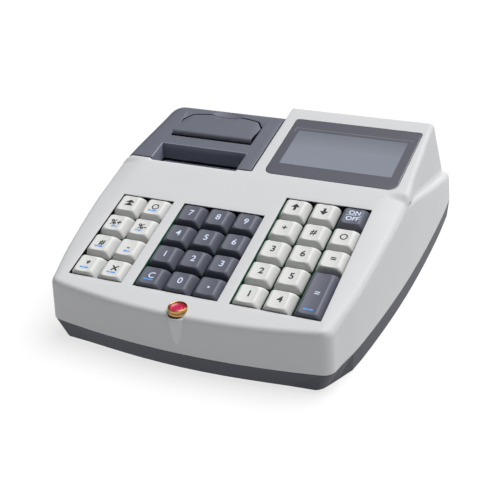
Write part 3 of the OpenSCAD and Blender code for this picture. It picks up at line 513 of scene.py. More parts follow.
def round_levels(r, depth, steps=5):
    """Pairs (drawn in, dropped) down a quarter-round edge and a straight wall."""
    turn = np.linspace(0, math.pi / 2, steps + 1)
    return [(r * math.sin(a), r * (1 - math.cos(a))) for a in turn] + [(r, depth)]


def rect_opening(shell, tilt, x, v, r, depth, left_slot):
    """Edge of a rectangular opening: its loop is drawn in by clipping while it drops. The wall
    below the round edge is painted black as painted shade, on its left side with a material of its
    own."""
    x0, x1, v0, v1 = x.min(), x.max(), v.min(), v.max()
    levels = [tilt.world(np.clip(x, x0 + d, x1 - d), np.clip(v, v0 + d, v1 - d), -drop)
              for d, drop in round_levels(r, depth)]
    shell.patch(np.stack(levels[:-1]), wrap=True)
    on_left = (x < x0 + 1e-6) & (np.roll(x, -1) < x0 + 1e-6)
    shell.patch(np.stack(levels[-2:]), ~on_left[None], wrap=True, slot=1)
    shell.patch(np.stack(levels[-2:]), on_left[None], wrap=True, slot=left_slot)


def rounded(x, v, x0, x1, v0, v1, radii):
    """Carries a loop round a rectangle to a rectangle with round corners, corner by corner."""
    px, pv = np.clip(x, x0, x1), np.clip(v, v0, v1)
    for k, (cx, cv) in enumerate(((x0, v0), (x1, v0), (x1, v1), (x0, v1))):
        r = radii[k]
        mx, mv = cx + r * (1 if cx == x0 else -1), cv + r * (1 if cv == v0 else -1)
        inside = ((x - mx) * (cx - mx) > 0) & ((v - mv) * (cv - mv) > 0)
        far = np.hypot(x - mx, v - mv) + 1e-9
        px = np.where(inside, mx + r * (x - mx) / far, px)
        pv = np.where(inside, mv + r * (v - mv) / far, pv)
    return px, pv


def rect_loop(x0, x1, v0, v1, radii, per_side=10, per_corner=8):
    """A closed loop round a rectangle with round corners, counter-clockwise."""
    points = []
    corners = ((x1, v0, -1, 1), (x1, v1, -1, -1), (x0, v1, 1, -1), (x0, v0, 1, 1))
    for k, (cx, cv, sx, sv) in enumerate(corners):
        r = radii[(k + 1) % 4]
        a = np.radians(np.linspace(90 * (k - 1), 90 * k, per_corner))
        points.append(np.stack([cx + r * (sx + np.cos(a)), cv + r * (sv + np.sin(a))], axis=1))
    out = []
    for k in range(4):
        here, there = points[k], points[(k + 1) % 4]
        t = np.linspace(0, 1, per_side + 1)[1:-1, None]
        out += [here, here[-1] * (1 - t) + there[0] * t]
    return np.concatenate(out)


def lathe(shell, profile, y, steps=64):
    """Turns (radius, height) points about an upright axis at (0, y); it runs upwards outside."""
    r, z = np.array(profile).T[:, :, None]
    cos, sin = circle(steps)
    shell.patch(np.stack([r * cos, y + r * sin, z + 0 * cos], axis=-1), wrap=True)


# ---------- Finishes ----------


def linear(hex_value):
    """Linear RGBA of an sRGB hex value."""
    parts = [int(hex_value[k:k + 2], 16) / 255 for k in (1, 3, 5)]
    return [c / 12.92 if c <= 0.04045 else ((c + 0.055) / 1.055) ** 2.4 for c in parts] + [1]


def shaded(hex_value, factor):
    """The same hue, lighter or darker by a factor, in linear light."""
    return [min(1, c * factor) for c in linear(hex_value)[:3]] + [1]


def add_node(tree, kind, settings=(), links=()):
    """Adds a shader node, sets its attributes or sockets and joins its inputs."""
    node = tree.nodes.new(kind)
    for key, value in dict(settings).items():
        if isinstance(key, str) and hasattr(node, key):
            setattr(node, key, value)
        else:
            node.inputs[key].default_value = value
    for key, source in dict(links).items():
        tree.links.new(source, node.inputs[key])
    return node


def ramp(tree, source, colour, dark, light):
    """Runs from a darker to a lighter shade of a colour."""
    node = add_node(tree, "ShaderNodeValToRGB", links={"Fac": source})
    for element, factor in zip(node.color_ramp.elements, (dark, light)):
        element.color = shaded(colour, factor)
    return node.outputs["Color"]


def noise(tree, place, cell_mm, **settings):
    """Noise with cells of a size in millimetres."""
    settings["Scale"] = 1 / (cell_mm * MM)
    return add_node(tree, "ShaderNodeTexNoise", settings, {"Vector": place}).outputs["Fac"]


def map_range(tree, source, low, high, **settings):
    """Carries a value to the range from low to high."""
    settings = {key.replace("_", " "): value for key, value in settings.items()}
    settings.update({"To Min": low, "To Max": high})
    return add_node(tree, "ShaderNodeMapRange", settings, {"Value": source}).outputs["Result"]


def bump(tree, source, strength, relief_mm):
    """Raises the surface by a height in millimetres."""
    return add_node(tree, "ShaderNodeBump", {"Strength": strength, "Distance": relief_mm * MM},
                    {"Height": source}).outputs["Normal"]


def new_material(name, look, *numbers):
    """A node material. Its look gives the inputs of the surface as links or as constants."""
    material = bpy.data.materials.new(name)
    material.use_nodes = True
    tree = material.node_tree
    tree.nodes.clear()
    inputs = look(tree, add_node(tree, "ShaderNodeTexCoord").outputs["Object"], *numbers)
    links = {k: v for k, v in inputs.items() if isinstance(v, bpy.types.NodeSocket)}
    constants = {k: v for k, v in inputs.items() if k not in links}
    surface = add_node(tree, "ShaderNodeBsdfPrincipled", constants, links)
    add_node(tree, "ShaderNodeOutputMaterial", links={"Surface": surface.outputs["BSDF"]})
    return material


def moulded(tree, place, colour, grain_mm, relief_mm, roughness, spread=0.06, specular=0.5):
    """Injection-moulded plastic: a spark-eroded grain, faint flow clouds and an uneven sheen."""
    grain = noise(tree, place, grain_mm, Detail=3.0, Roughness=0.6)
    cloud = noise(tree, place, 38, Detail=2.0)
    return {"Base Color": ramp(tree, cloud, colour, 1 - spread, 1 + spread),
            "Roughness": map_range(tree, grain, roughness - 0.05, roughness + 0.07),
            "Normal": bump(tree, grain, 0.5, relief_mm),
            "Specular IOR Level": specular, "IOR": 1.53}


def worked_metal(tree, place, colour, roughness, line_mm, stretch):
    """Machined metal: fine tool lines across a bright ground."""
    turned = add_node(tree, "ShaderNodeMapping", {"Scale": stretch}, {"Vector": place})
    lines = noise(tree, turned.outputs["Vector"], line_mm, Detail=2.0)
    return {"Base Color": ramp(tree, lines, colour, 0.82, 1.1),
            "Roughness": map_range(tree, lines, roughness - 0.06, roughness + 0.1),
            "Normal": bump(tree, lines, 0.25, 0.02), "Metallic": 1.0}


def printed_ink(tree, place, colour):
    """Pad-printed ink: matt, slightly thin where the pad lifted."""
    return {"Base Color": ramp(tree, noise(tree, place, 0.6), colour, 0.92, 1.06),
            "Roughness": 0.55}


def smoked_acrylic(tree, place, colour):
    """Polished acrylic printed from behind: an even dark ground under a hard gloss."""
    return {"Base Color": ramp(tree, noise(tree, place, 30), colour, 0.94, 1.06),
            "Roughness": 0.3, "IOR": 1.49, "Coat Weight": 0.15, "Coat Roughness": 0.08}


def display_glass(tree, place, colour):
    """Unlit liquid crystal behind clear acrylic: grey-blue, a fine dot grid, and painted shade that
    darkens it towards the rear.
    """
    dots = add_node(tree, "ShaderNodeTexVoronoi", {"Scale": 1 / (0.9 * MM), "Randomness": 0.0},
                    {"Vector": place})
    tone = ramp(tree, noise(tree, place, 60), colour, 0.93, 1.07)
    grid = map_range(tree, dots.outputs["Distance"], 0.96, 1.0)
    axes = add_node(tree, "ShaderNodeSeparateXYZ", links={"Vector": place})
    # Painted shade: darker towards the rear, upper edge of the glass, under the window's border;
    # depth is the dot grid times this painted shade.
    fade = map_range(tree, axes.outputs["Y"], 1.04, 0.76, From_Min=30 * MM, From_Max=48 * MM)
    depth = add_node(tree, "ShaderNodeMath", {"operation": "MULTIPLY"}, {0: grid, 1: fade})
    mixed = add_node(tree, "ShaderNodeVectorMath", {"operation": "SCALE"},
                     {"Vector": tone, "Scale": depth.outputs["Value"]})
    return {"Base Color": mixed.outputs["Vector"], "Roughness": 0.18, "Coat Weight": 0.3,
            "Coat Roughness": 0.06}


def studio_paper(tree, place, colour):
    """Matt paper lit from below as well, so that shadows on it stay pale."""
    paper = add_node(tree, "ShaderNodeTexNoise", {"Scale": 4.0}, {"Vector": place})
    return {"Base Color": ramp(tree, paper.outputs["Fac"], colour, 0.995, 1.005),
            "Roughness": 0.9, "Specular IOR Level": 0.1, "Emission Color": linear("#FFFFFF"),
            "Emission Strength": 0.74}


FINISHES = {}


def make_finishes(c):
    """Every finish of the register, by name, from the colours that can be set."""
    table = (
        # Fine-grained white ABS: matt, with a soft broad sheen.
        ("white_abs", moulded, c.housing, 0.55, 0.03, 0.55, 0.02, 0.25),
        # Coarser grained dark grey ABS of the lower half: nearly matt.
        ("base_abs", moulded, c.base, 0.8, 0.05, 0.5, 0.04, 0.2),
        # Blue-grey ABS of the cover: fine grain, satin.
        ("cover_abs", moulded, c.cover, 0.6, 0.04, 0.5, 0.04, 0.4),
        # The paper chute's walls and floor: the same plastic painted lighter, as painted light in
        # the recess.
        ("chute_abs", moulded, "#888C9C", 0.6, 0.02, 0.45, 0.04, 0.4),
        # Double-shot key caps: smoother than the housing, slightly waxy.
        ("light_cap", moulded, c.light_key, 0.4, 0.015, 0.52, 0.015, 0.3),
        ("dark_cap", moulded, c.dark_key, 0.4, 0.02, 0.5, 0.03, 0.35),
        # Switch housings and sockets: black nylon with a low gloss.
        ("black_nylon", moulded, "#1C1C1F", 0.5, 0.03, 0.5, 0.05),
        # Painted shade: near-black put on the walls of the key openings, the lever's pocket and the
        # gaps, so that these read as dark gaps.
        ("key_frame", moulded, "#0B0B0D", 0.5, 0.02, 0.7, 0.05, 0.2),
        # The printer's frame: charcoal ABS, plainly moulded.
        ("frame_abs", moulded, "#3A3B40", 0.7, 0.04, 0.5, 0.05),
        # Natural acetal gears: warm white, slightly translucent looking and slick.
        ("acetal", moulded, "#E6DFC8", 0.9, 0.01, 0.32, 0.03),
        # Solder mask: green, glossy over the copper beneath.
        ("board_mask", moulded, c.board, 1.6, 0.02, 0.3, 0.15),
        # Nitrile rubber: dull black with a ground surface.
        ("rubber", moulded, "#1A1A1B", 0.35, 0.05, 0.75, 0.08, 0.3),
        # Thermal paper: flat white, faintly fibrous.
        ("thermal_paper", moulded, "#F1EFEA", 0.25, 0.02, 0.8, 0.01, 0.2),
        # Heat-shrink sleeve of the battery: blue and slightly glossy.
        ("heat_shrink", moulded, "#2C5FA8", 1.2, 0.02, 0.35, 0.05),
        # Sealing compound: glossy, with shallow lumps left by the press.
        ("sealing_wax", moulded, c.seal, 1.6, 0.25, 0.3, 0.1),
        # Turned brass: warm, with fine rings.
        ("turned_brass", worked_metal, c.brass, 0.28, 1.2, (1, 1, 14)),
        # Ground steel: bright, with lines along the shaft.
        ("bright_steel", worked_metal, "#B9BBBE", 0.3, 0.8, (0.1, 1, 1)),
        # Zinc-plated sheet: grey, with a soft bloom.
        ("zinc_plate", worked_metal, "#A5A7A8", 0.42, 3.0, (1, 1, 1)),
        # Printed border of the windows: dark grey under a gloss.
        ("border_acrylic", smoked_acrylic, c.window),
        # Painted light: a pale band standing for the lit step inside the display's frame, seen
        # through the border.
        ("inner_step", smoked_acrylic, "#6E6F77"),
        # Liquid crystal: grey-blue with a fine dot grid.
        ("lcd_glass", display_glass, c.glass),
        # Inks: flat, a little uneven.
        ("ink_black", printed_ink, c.ink_black),
        ("ink_white", printed_ink, c.ink_white),
        ("ink_blue", printed_ink, c.ink_blue),
        # The floor: pale and without gloss.
        ("studio_sweep", studio_paper, c.floor),
    )
    for name, look, *numbers in table:
        FINISHES[name] = new_material(name, look, *numbers)


# ---------- Upper housing ----------

# Where the columns of the body begin to spread to the side outline.
INNER = 84.8
# Rear end and right edge of the bay under the cover.
BAY_REAR, BAY_RIGHT = 74.8, -12.5
# Columns of the pod beyond this place are drawn in where its right edge comes near.
SQUEEZE = 82
# Collar round a window's recess, and the depth of the recess.
COLLAR, RECESS_DEPTH = 1.2, 1.9
# Depths of the key openings and of the bay's wall.
OPENING_DEPTH, BAY_DEPTH = 3.2, 2.5
# Clearance of a socket's window on each side.
SOCKET_CLEAR = 0.3
# Gap between the two halves of the housing.
SEAM_GAP = 0.15
# Length behind the fold over which the right side turns from the deck's section to the pod's.
POD_TURN = 22
# Radius of the trough in front of the paper exit, and its middle's height above the slope.
TROUGH_R, TROUGH_UP = 9.5, 8
# Radius of the eyes of the hinge.
EYE_R = 4


def body_skin(p, shell):
    """The deck, the rails and the walls down to the seam, with the openings left out.

    Rows run from the front bow to the rear bow and columns from edge to edge. Inside the crease
    the lines are straight, outside they spread to the side outline. A point's height is the rail's
    height at its depth, less the rounding of the edges and the fall outside the crease."""
    banks = [(x - KEY_EDGE, x + w + KEY_EDGE, p.deck.depth(l + KEY_EDGE))
             for x, w, l in zip(p.bank_x, p.bank_w, p.bank_l)]
    sockets = [(x - w / 2 - SOCKET_CLEAR, x + w / 2 + SOCKET_CLEAR) for x, w in SOCKETS]
    columns = filled([-INNER, INNER, BAY_RIGHT, *(x for bank in banks for x in bank[:2]),
                      *(x for socket in sockets for x in socket)], 5.5)
    bank_front, bay_front = p.deck.depth(-KEY_EDGE), p.cover_y - p.cover_gap
    middle = filled([bank_front, bay_front, BAY_REAR, p.rear_y - p.rear_corner_r,
                     *(bank[2] for bank in banks),
                     *(p.fold_y + k for k in (-5, -3, -1.5, -0.5, 0, 0.5))], 5)
    rows = np.concatenate([p.front_y + quarter(p.front_corner_r), [p.front_y + 8, p.front_y + 11.5],
                           middle, p.rear_y - quarter(p.rear_corner_r)[::-1][1:]])
    front = rows - p.front_y
    half, edge_y = (np.interp(front, p.side_curve[0], k)[:, None] for k in p.side_curve[1:])
    ends = (front < p.deck_in - 0.5) | (front > p.body_d - p.rear_corner_r + 0.01)
    inner = np.where(ends[:, None], np.minimum(INNER, half - 8.6), INNER)
    outer = np.concatenate([inner + (half - p.edge_r - inner) * [0.3, 0.65, 1],
                            half - quarter(p.edge_r)[::-1][1:]], axis=1)
    beyond = np.maximum(np.abs(columns) - STRAIGHT, 0)
    drawn = np.abs(columns) - beyond * (INNER - inner) / (INNER - STRAIGHT)
    x = np.concatenate([-outer[:, ::-1], np.sign(columns) * drawn, outer], axis=1)
    bow = 1 - np.clip((front - p.front_corner_r) / (p.deck_in - 0.5 - p.front_corner_r), 0, 1)
    bend = (bow / (2 * p.bow_r) - p.rear_share(p.body_d - front) / (2 * p.rear_r))[:, None]
    share = np.clip((np.abs(x) - inner) / (half - inner), 0, 1)
    y = rows[:, None] + bend * np.minimum(np.abs(x), inner) ** 2
    y = y + share * (edge_y - rows[:, None] - bend * inner ** 2)
    z = p.rail_z(y) - p.crease(x, half, y) - p.fold_drop(y)
    for r, inside in ((p.front_edge_r, front[:, None]), (p.edge_r, half - np.abs(x)),
                      (p.rear_corner_r, p.body_d - front[:, None])):
        z = z - round_drop(r, inside)
    grid = np.stack([x, y, z], axis=-1)

    keep, shift = all_kept(grid), outer.shape[1]
    for bank, (x0, x1, rear) in enumerate(banks):
        loop = cut_out(grid, keep, at(rows, bank_front), at(rows, rear), shift + at(columns, x0),
                       shift + at(columns, x1))
        rect_opening(shell, p.deck, loop[:, 0], p.deck.along(loop[:, 1]), KEY_EDGE,
                     OPENING_DEPTH, 2 if bank else 1)
    loop = cut_out(grid, keep, at(rows, bay_front), at(rows, BAY_REAR), shift - 2,
                   shift + at(columns, BAY_RIGHT))
    shell.patch(np.stack([loop, loop - [0, 0, BAY_DEPTH]]), wrap=True)
    # The sockets' windows reach into the lower part of the rear rounding.
    last = len(rows) - 1
    spans = [[shift + at(columns, k) for k in socket] for socket in sockets]
    for j0, j1 in spans:
        keep[last - 1:, j0:j1] = False
    shell.patch(grid, keep)

    # The walls spread by the draft and turn in under the seam to a lip.
    rim_rows, rim_cols = edge_loop(0, last, 0, x.shape[1] - 1)
    rim = grid[rim_rows, rim_cols]
    foot = rim * [1 + 2 * p.draft / p.body_w, 1 + 2 * p.draft / p.body_d, 0]
    foot[:, 2] = p.seam_z + SEAM_GAP
    walls = list(blend(rim, foot, 6))
    for inset, rise in ((0.25, -SEAM_GAP), (3, -SEAM_GAP), (3, 12)):
        walls.append(foot * [1 - 2 * inset / p.body_w, 1 - 2 * inset / p.body_d, 1] + [0, 0, rise])
    wall_keep = all_kept(walls, wrap=True)
    for j0, j1 in spans:
        wall_keep[:, (rim_rows == last) & (rim_cols > j0) & (rim_cols <= j1)] = False
    shell.patch(np.stack(walls), wall_keep, wrap=True, flip=True)


def pod_skin(p, shell):
    """The display pod with the strip in front of the cover, as one height over a grid."""
    strip_y, wall_x, wall_r = p.cover_y - p.cover_gap, p.pod_wall_x, 0.5
    wx0, wx1, ws0, ws1 = grown(p.display, COLLAR)
    gx0, gx1, gs0, gs1 = grown(CUSTOMER, COLLAR)
    corner = (1.5, 3, 4.5, 6, 7.5, 9)
    columns = filled([-90, wx0, wx1, gx0, gx1, wall_x, *(wx0 + k for k in corner),
                      *(wx1 - k for k in corner), *(wall_x + quarter(wall_r, 4)),
                      *(e + k for e in p.exit_x for k in (-1.8, -1, -0.3, 0.3, 1, 1.8))], 6)
    window_rows = [ws0, ws1, *(ws0 + k for k in corner), *(ws1 - k for k in corner[:3])]
    rows = filled([p.slope_y + 4, *(p.fold_y + k for k in (0, 0.5, 1.5, 3)),
                   *(p.pod.depth(s) for s in window_rows), p.slope.depth(gs0),
                   p.slope.depth(gs1), *(p.ridge_y + np.linspace(-POD_BLEND, POD_BLEND, 9)),
                   *(strip_y - quarter(0.5, 4)), *np.linspace(p.fold_y + 1, strip_y, 7)], 5)
    # At the fold the section is the deck's; it turns into the pod's and the cover's own.
    body, own = p.side_x(rows)[:, None], p.pod_half(rows)[:, None]
    behind = (rows - p.fold_y)[:, None]
    on_right, on_left = smooth(behind / POD_TURN), smooth(behind / (strip_y - p.fold_y))
    half, half_left = body + (own - body) * on_right, body + (own - body) * on_left
    right_r = p.edge_r + (p.pod_edge_r - p.edge_r) * on_right
    left_r = p.edge_r + (p.cover_edge_r - p.edge_r) * on_left
    right = half - quarter(1)[::-1] * right_r
    left = -(half_left - quarter(1)[::-1] * left_r)[:, ::-1]
    reach = (np.minimum(right[:, :1] - 0.2, wx1) - SQUEEZE) / (wx1 - SQUEEZE)
    middle = np.where(columns > SQUEEZE, SQUEEZE + (columns - SQUEEZE) * reach, columns)
    x = np.concatenate([left, middle, right], axis=1)
    y = plane_grid(rows, x)
    z = p.wedge_z(y, p.ridge_y, POD_BLEND)
    z = z - np.where(x < 0, round_drop(left_r, half_left + x), round_drop(right_r, half - x))
    z = z - p.fold_drop(y) - p.crease(x, body, y) * (1 - smooth((y - p.fold_y) / 6))
    # In front of the paper exit a trough rounds off the strip.
    on_strip = y <= strip_y + 1e-6
    reach = np.maximum(0, TROUGH_R ** 2 - (y - strip_y) ** 2)
    trough = p.pod_z(p.cover_y) + TROUGH_UP - np.sqrt(reach)
    at_exit = smooth((x - p.exit_x[0] + 1) / 2) * smooth((p.exit_x[1] + 1 - x) / 2)
    z = np.where(on_strip, z - at_exit * np.maximum(0, z - trough), z)
    z = z - np.where(on_strip & (x < wall_x), round_drop(0.5, strip_y - y), 0)
    z = z - np.where(~on_strip, round_drop(wall_r, np.maximum(0, x - wall_x)), 0)
    grid = np.stack([x, y, z], axis=-1)

    keep, shift = all_kept(grid), left.shape[1]
    iw, jw = at(rows, strip_y), shift + at(columns, wall_x)
    keep[iw:, :jw] = False
    # The display's recess has tighter corners at the top than at the bottom.
    for tilt, place, radii in ((p.pod, p.display, (6, 6, 2.5, 2.5)),
                               (p.slope, CUSTOMER, (0.6,) * 4)):
        x0, x1, s0, s1 = grown(place, COLLAR)
        loop = cut_out(grid, keep, at(rows, tilt.depth(s0)), at(rows, tilt.depth(s1)),
                       shift + at(columns, x0), shift + at(columns, x1))
        recess(shell, tilt, loop[:, 0], tilt.along(loop[:, 1]), grown(place, 0.25), radii)
    shell.patch(grid, keep)
    # Walls: right side, left side of the strip, back of the strip (painted black as painted shade),
    # left side of the pod.
    skirt(p, shell, grid[:, -1], 3, True)
    skirt(p, shell, grid[:iw + 1, 0], 3, False)
    skirt(p, shell, grid[iw, :jw + 1], 14, True, 1)
    # The pod's left wall is white above the cover and painted black below it, as painted shade in
    # the gap beside it.
    line = grid[iw:, jw]
    gap_top = line.copy()
    cover_z = p.wedge_z(line[:, 1], p.cover_ridge_y, COVER_BLEND)
    gap_top[:, 2] = np.minimum(line[:, 2] - 0.05, cover_z - 0.4)
    gap_top[:, 2] = np.maximum(gap_top[:, 2], p.rail_z(line[:, 1]) - 2)
    shell.patch(np.stack([line, gap_top]))
    skirt(p, shell, gap_top, 3, False, 1)
    # Hollow fillet between the pod's side and the rail: a parabola that leaves the wall upright.
    x, y, z = grid[rows > p.fold_y + 2.5, -1].T
    x = x * lean(z - p.rail_z(y))
    low = p.rail_top(x, y)
    width = 0.8 * np.maximum(p.side_x(y) - x, 0.02)
    rise = np.minimum(1.5 * width, 0.6 * np.maximum(z - low, 0.02))
    t = np.linspace(0, 1, 9)[:, None, None]
    shell.patch(parabola(t, np.stack([x, y, low + rise], axis=1), np.stack([x, y, low], axis=1),
                         np.stack([x + width, y, p.rail_top(x + width, y)], axis=1)))


def skirt(p, shell, line, depth, flip, slot=0):
    """A wall from a line down to a depth under the rail, leaning outwards."""
    low = line.copy()
    low[:, 2] = p.rail_z(line[:, 1]) - depth
    low[:, 0] *= lean(line[:, 2] - low[:, 2])
    low[:, 2] = np.minimum(low[:, 2], line[:, 2] - 0.2)
    shell.patch(blend(line, low, 5), flip=flip, slot=slot)


def recess(shell, tilt, x, v, edges, radii):
    """A recess with round corners: a flat collar, a small round edge, a wall and a ledge."""
    x0, x1, v0, v1 = edges
    levels = [tilt.world(x, v, 0)]
    for inset, drop in [(-0.5, 0.0)] + round_levels(0.3, RECESS_DEPTH, 4):
        out = 0.3 - inset
        loop = rounded(x, v, x0 - out, x1 + out, v0 - out, v1 + out, [r + out for r in radii])
        levels.append(tilt.world(*loop, -drop))
    ledge = rounded(x, v, x0 + 3, x1 - 3, v0 + 3, v1 - 3, radii)
    levels.append(tilt.world(*ledge, -RECESS_DEPTH))
    shell.patch(np.stack(levels), wrap=True)


def hinge_ears(p, shell):
    """Two ears on the rear deck: a round eye on a post, as a bevelled profile along X."""
    a = np.radians(np.linspace(0, 180, 25))
    low = float(p.rail_z(p.hinge_y)) - 2 - p.hinge_z
    eye = zip(EYE_R * np.cos(a), EYE_R * np.sin(a))
    y, z = np.array([(EYE_R, low), *eye, (-EYE_R, low)]).T
    for x in (12 - p.pod_half(p.cover_y), -p.cover_right - 12):
        sections = [np.stack([np.full(len(y), x + dx), p.hinge_y + y * s,
                              p.hinge_z + z * np.where(z > 0, s, 1)], axis=1)
                    for dx, s in ((0, 0), (0, 0.92), (0.25, 1), (2.75, 1), (3, 0.92), (3, 0))]
        for end in (sections[0], sections[-1]):
            end[:, 2] = p.hinge_z
        shell.patch(np.stack(sections), flip=True)


def seal_boss(p, shell):
    """A boss that widens upwards from the front wall to the cup: a turned, tapering profile."""
    seat = p.cup_top - p.cup_h
    top = seat + 0.4
    lathe(shell, [(0.2, 14.8), (2.4, 15.1), (3.5, 16.2), (4.2, 18), (4.85, 23), (5.35, 27),
                  (5.75, 30.5), (6.15, 34), (6.35, top - 1), (6.3, top - 0.4), (6.1, top - 0.05),
                  (5.9, top), (5.5, top - 0.1), (5.4, seat)], p.cup_y - 1)


class REGISTER_OT_upper_housing(bpy.types.Operator):
    """Builds the white upper housing: deck, rails, pod, hinge ears and seal boss"""

    bl_idname = "register.upper_housing"
    bl_label = "Upper housing"

    def execute(self, context):
        p, shell = Plan(context.scene), Shell()
        for part in (body_skin, pod_skin, hinge_ears, seal_boss):
            part(p, shell)
        shell.build("upper_housing_shell", ("white_abs", "key_frame", "board_mask"), "root",
                    "upper_housing", "housing_white", 28)
        return {"FINISHED"}


class REGISTER_OT_lower_housing(bpy.types.Operator):
    """Gives the lower housing smooth walls, its feet and its screws"""

    bl_idname = "register.lower_housing"
    bl_label = "Lower housing"

    def execute(self, context):
        welded_copy("lower_housing", "root", "base_abs", 24)
        welded_copy("rubber_feet", "root", "rubber", 40)
        welded_copy("case_screws", "root", "bright_steel", 40)
        return {"FINISHED"}


# ---------- Printer cover ----------


# Radius of the edge round the paper exit, and how far its floor lies under the slope.
EXIT_EDGE, EXIT_DEPTH = 0.5, 12.8
# Collar round the lever's pocket, and the middle of its loops behind the lever's axis.
POCKET_COLLAR, POCKET_MIDDLE = 1.1, 12
# Height of the lever's axis above the slope.
LEVER_AXIS = 0.3


def cover_low(p, y):
    """Lower edge of the cover: along the rail, then round the hinge."""
    rail = [p.cover_y - 1, p.hinge_y - 8]
    return np.interp(y, rail + [p.hinge_y, p.hinge_y + 4, p.hinge_y + 6.5],
                     [float(p.rail_z(k)) + 0.4 for k in rail] + [p.hinge_z - 4.4, p.hinge_z - 2.5,
                                                                 p.hinge_z + 3])


def lever_outline(p, x, grow):
    """Rear end of the lever at x, measured from its axis: an arch with rounded shoulders."""
    u = np.clip(np.abs(x + p.paper_mid) / (p.lever_w / 2 + grow), 0, 1)
    return p.lever_l + grow - 4.2 * u ** 2 - p.lever_l * 0.2 * smooth((u - 0.8) / 0.2) ** 1.4


def finger_scoop(p, x, y):
    """A shallow lens behind the lever: a bump of depth over an ellipse."""
    cy = p.pod.depth(p.lever_s + p.lever_l + 1.2)
    q = ((x + p.paper_mid) / 11) ** 2 + ((y - cy) / 5.8) ** 2
    return 1.9 * np.clip(1 - q, 0, 1) ** 0.7


def cover_skin(p, shell):
    """The cover's top with its paper exit and lever pocket, and its walls down to the rail."""
    ex0, ex1 = p.exit_x[0] - EXIT_EDGE, p.exit_x[1] + EXIT_EDGE
    exit_rear = p.cover_y + p.exit_d + EXIT_EDGE
    gap = p.lever_gap + 0.4
    around = gap + POCKET_COLLAR
    lx0, lx1 = p.lever_left - around, p.lever_left + p.lever_w + around
    pocket = (p.pod.depth(p.lever_s - p.lever_r - gap - 2),
              p.pod.depth(p.lever_s + p.lever_l + around))
    right, front = -p.cover_right - 0.4, p.cover_y + 0.3
    columns = filled([ex0, ex1, lx0, lx1, -83.5, *(right - quarter(0.5, 4)),
                      *(lx0 + k for k in (1.5, 3, 5)), *(lx1 - k for k in (1.5, 3, 5)),
                      *(-p.paper_mid + np.linspace(-14, 14, 15))], 4.5)
    rows = filled([front, exit_rear, *pocket, p.hinge_y + 6.5, *(front + quarter(0.5, 4)),
                   *(p.cover_ridge_y + np.linspace(-COVER_BLEND, COVER_BLEND, 19)),
                   *(pocket[1] + np.linspace(0.8, 7, 8))], 4)
    half = p.pod_half(rows)[:, None]
    edge = p.cover_edge_r + 4.6 * smooth((rows[:, None] - p.cover_y) / 62)
    left = -(half - edge * quarter(1, 10)[::-1])[:, ::-1]
    x = np.concatenate([left, np.repeat(columns[None], len(rows), axis=0)], axis=1)
    y = plane_grid(rows, x)
    z = p.wedge_z(y, p.cover_ridge_y, COVER_BLEND) - finger_scoop(p, x, y)
    for r, inside in ((edge, half + x), (0.5, right - x), (0.5, y - front)):
        z = z - round_drop(r, inside)
    grid = np.stack([x, y, z], axis=-1)
    keep, shift = all_kept(grid), left.shape[1]
    je0, je1, ie = shift + at(columns, ex0), shift + at(columns, ex1), at(rows, exit_rear)
    keep[:ie, je0:je1] = False
    loop = cut_out(grid, keep, at(rows, pocket[0]), at(rows, pocket[1]), shift + at(columns, lx0),
                   shift + at(columns, lx1))
    shell.patch(grid, keep)

    # Outer walls, open along the paper exit.
    rim_rows, rim_cols = edge_loop(0, len(rows) - 1, 0, x.shape[1] - 1)
    rim = grid[rim_rows, rim_cols]
    low = rim.copy()
    low[:, 2] = np.minimum(cover_low(p, rim[:, 1]), rim[:, 2] - 0.3)
    low[:, 0] *= np.where(rim[:, 0] < -80, lean(rim[:, 2] - low[:, 2]), 1)
    walls = blend(rim, low, 4)
    wall_keep = all_kept(walls, wrap=True)
    wall_keep[:, (rim_rows == 0) & (rim_cols >= je0) & (rim_cols < je1)] = False
    shell.patch(walls, wall_keep, wrap=True, flip=True)
    paper_exit(p, shell, np.concatenate([grid[:ie, je0], grid[ie, je0:je1], grid[ie::-1, je1]]))
    lever_pocket(p, shell, loop, gap)
    # Hinge rod between the ears.
    cos, sin = circle(32)
    ends = np.repeat([1 - p.pod_half(p.hinge_y), right - p.cover_t / 2], 2)
    rod = [np.stack([np.full(32, x), p.hinge_y + r * cos, p.hinge_z + r * sin], axis=1)
           for x, r in zip(ends, (0.1, 2, 2, 0.1))]
    shell.patch(np.stack(rod), wrap=True, flip=True)


def paper_exit(p, shell, path):
    """The paper exit: cheeks and a rear wall from a path down to the floor, then the floor. They
    are painted lighter as painted light, and the foot of the walls is painted black as painted
    shade.
    """
    x0, x1 = p.exit_x
    rear = p.cover_y + p.exit_d
    floor_z = p.pod_z(rear) - EXIT_DEPTH

    def drawn_in(line, inset, z):
        """The line at new heights, kept inside the exit drawn in by the inset."""
        return np.stack([np.clip(line[:, 0], x0 + inset, x1 - inset),
                         np.minimum(line[:, 1], rear - inset), z], axis=1)

    levels = [drawn_in(path, inset - EXIT_EDGE, path[:, 2] - drop)
              for inset, drop in round_levels(EXIT_EDGE, EXIT_EDGE)]
    wall = levels[-1]
    for share, inset in ((0.35, 0), (0.88, 0), (0.95, 0), (1, 0.6)):
        levels.append(drawn_in(wall, inset, wall[:, 2] * (1 - share) + floor_z * share))
    shell.patch(np.stack(levels[:9]), flip=True, slot=2)
    shell.patch(np.stack(levels[8:]), flip=True, slot=1)
    x = np.linspace(x0, x1, 9)
    floor = [np.stack([x, np.full(9, y), np.full(9, floor_z - drop)], axis=1)
             for y, drop in ((p.cover_y + 5.5, 1.4), (p.cover_y + 5.7, 0.2),
                             (p.cover_y + 6.2, 0), (rear, 0))]
    shell.patch(np.stack(floor), slot=2)


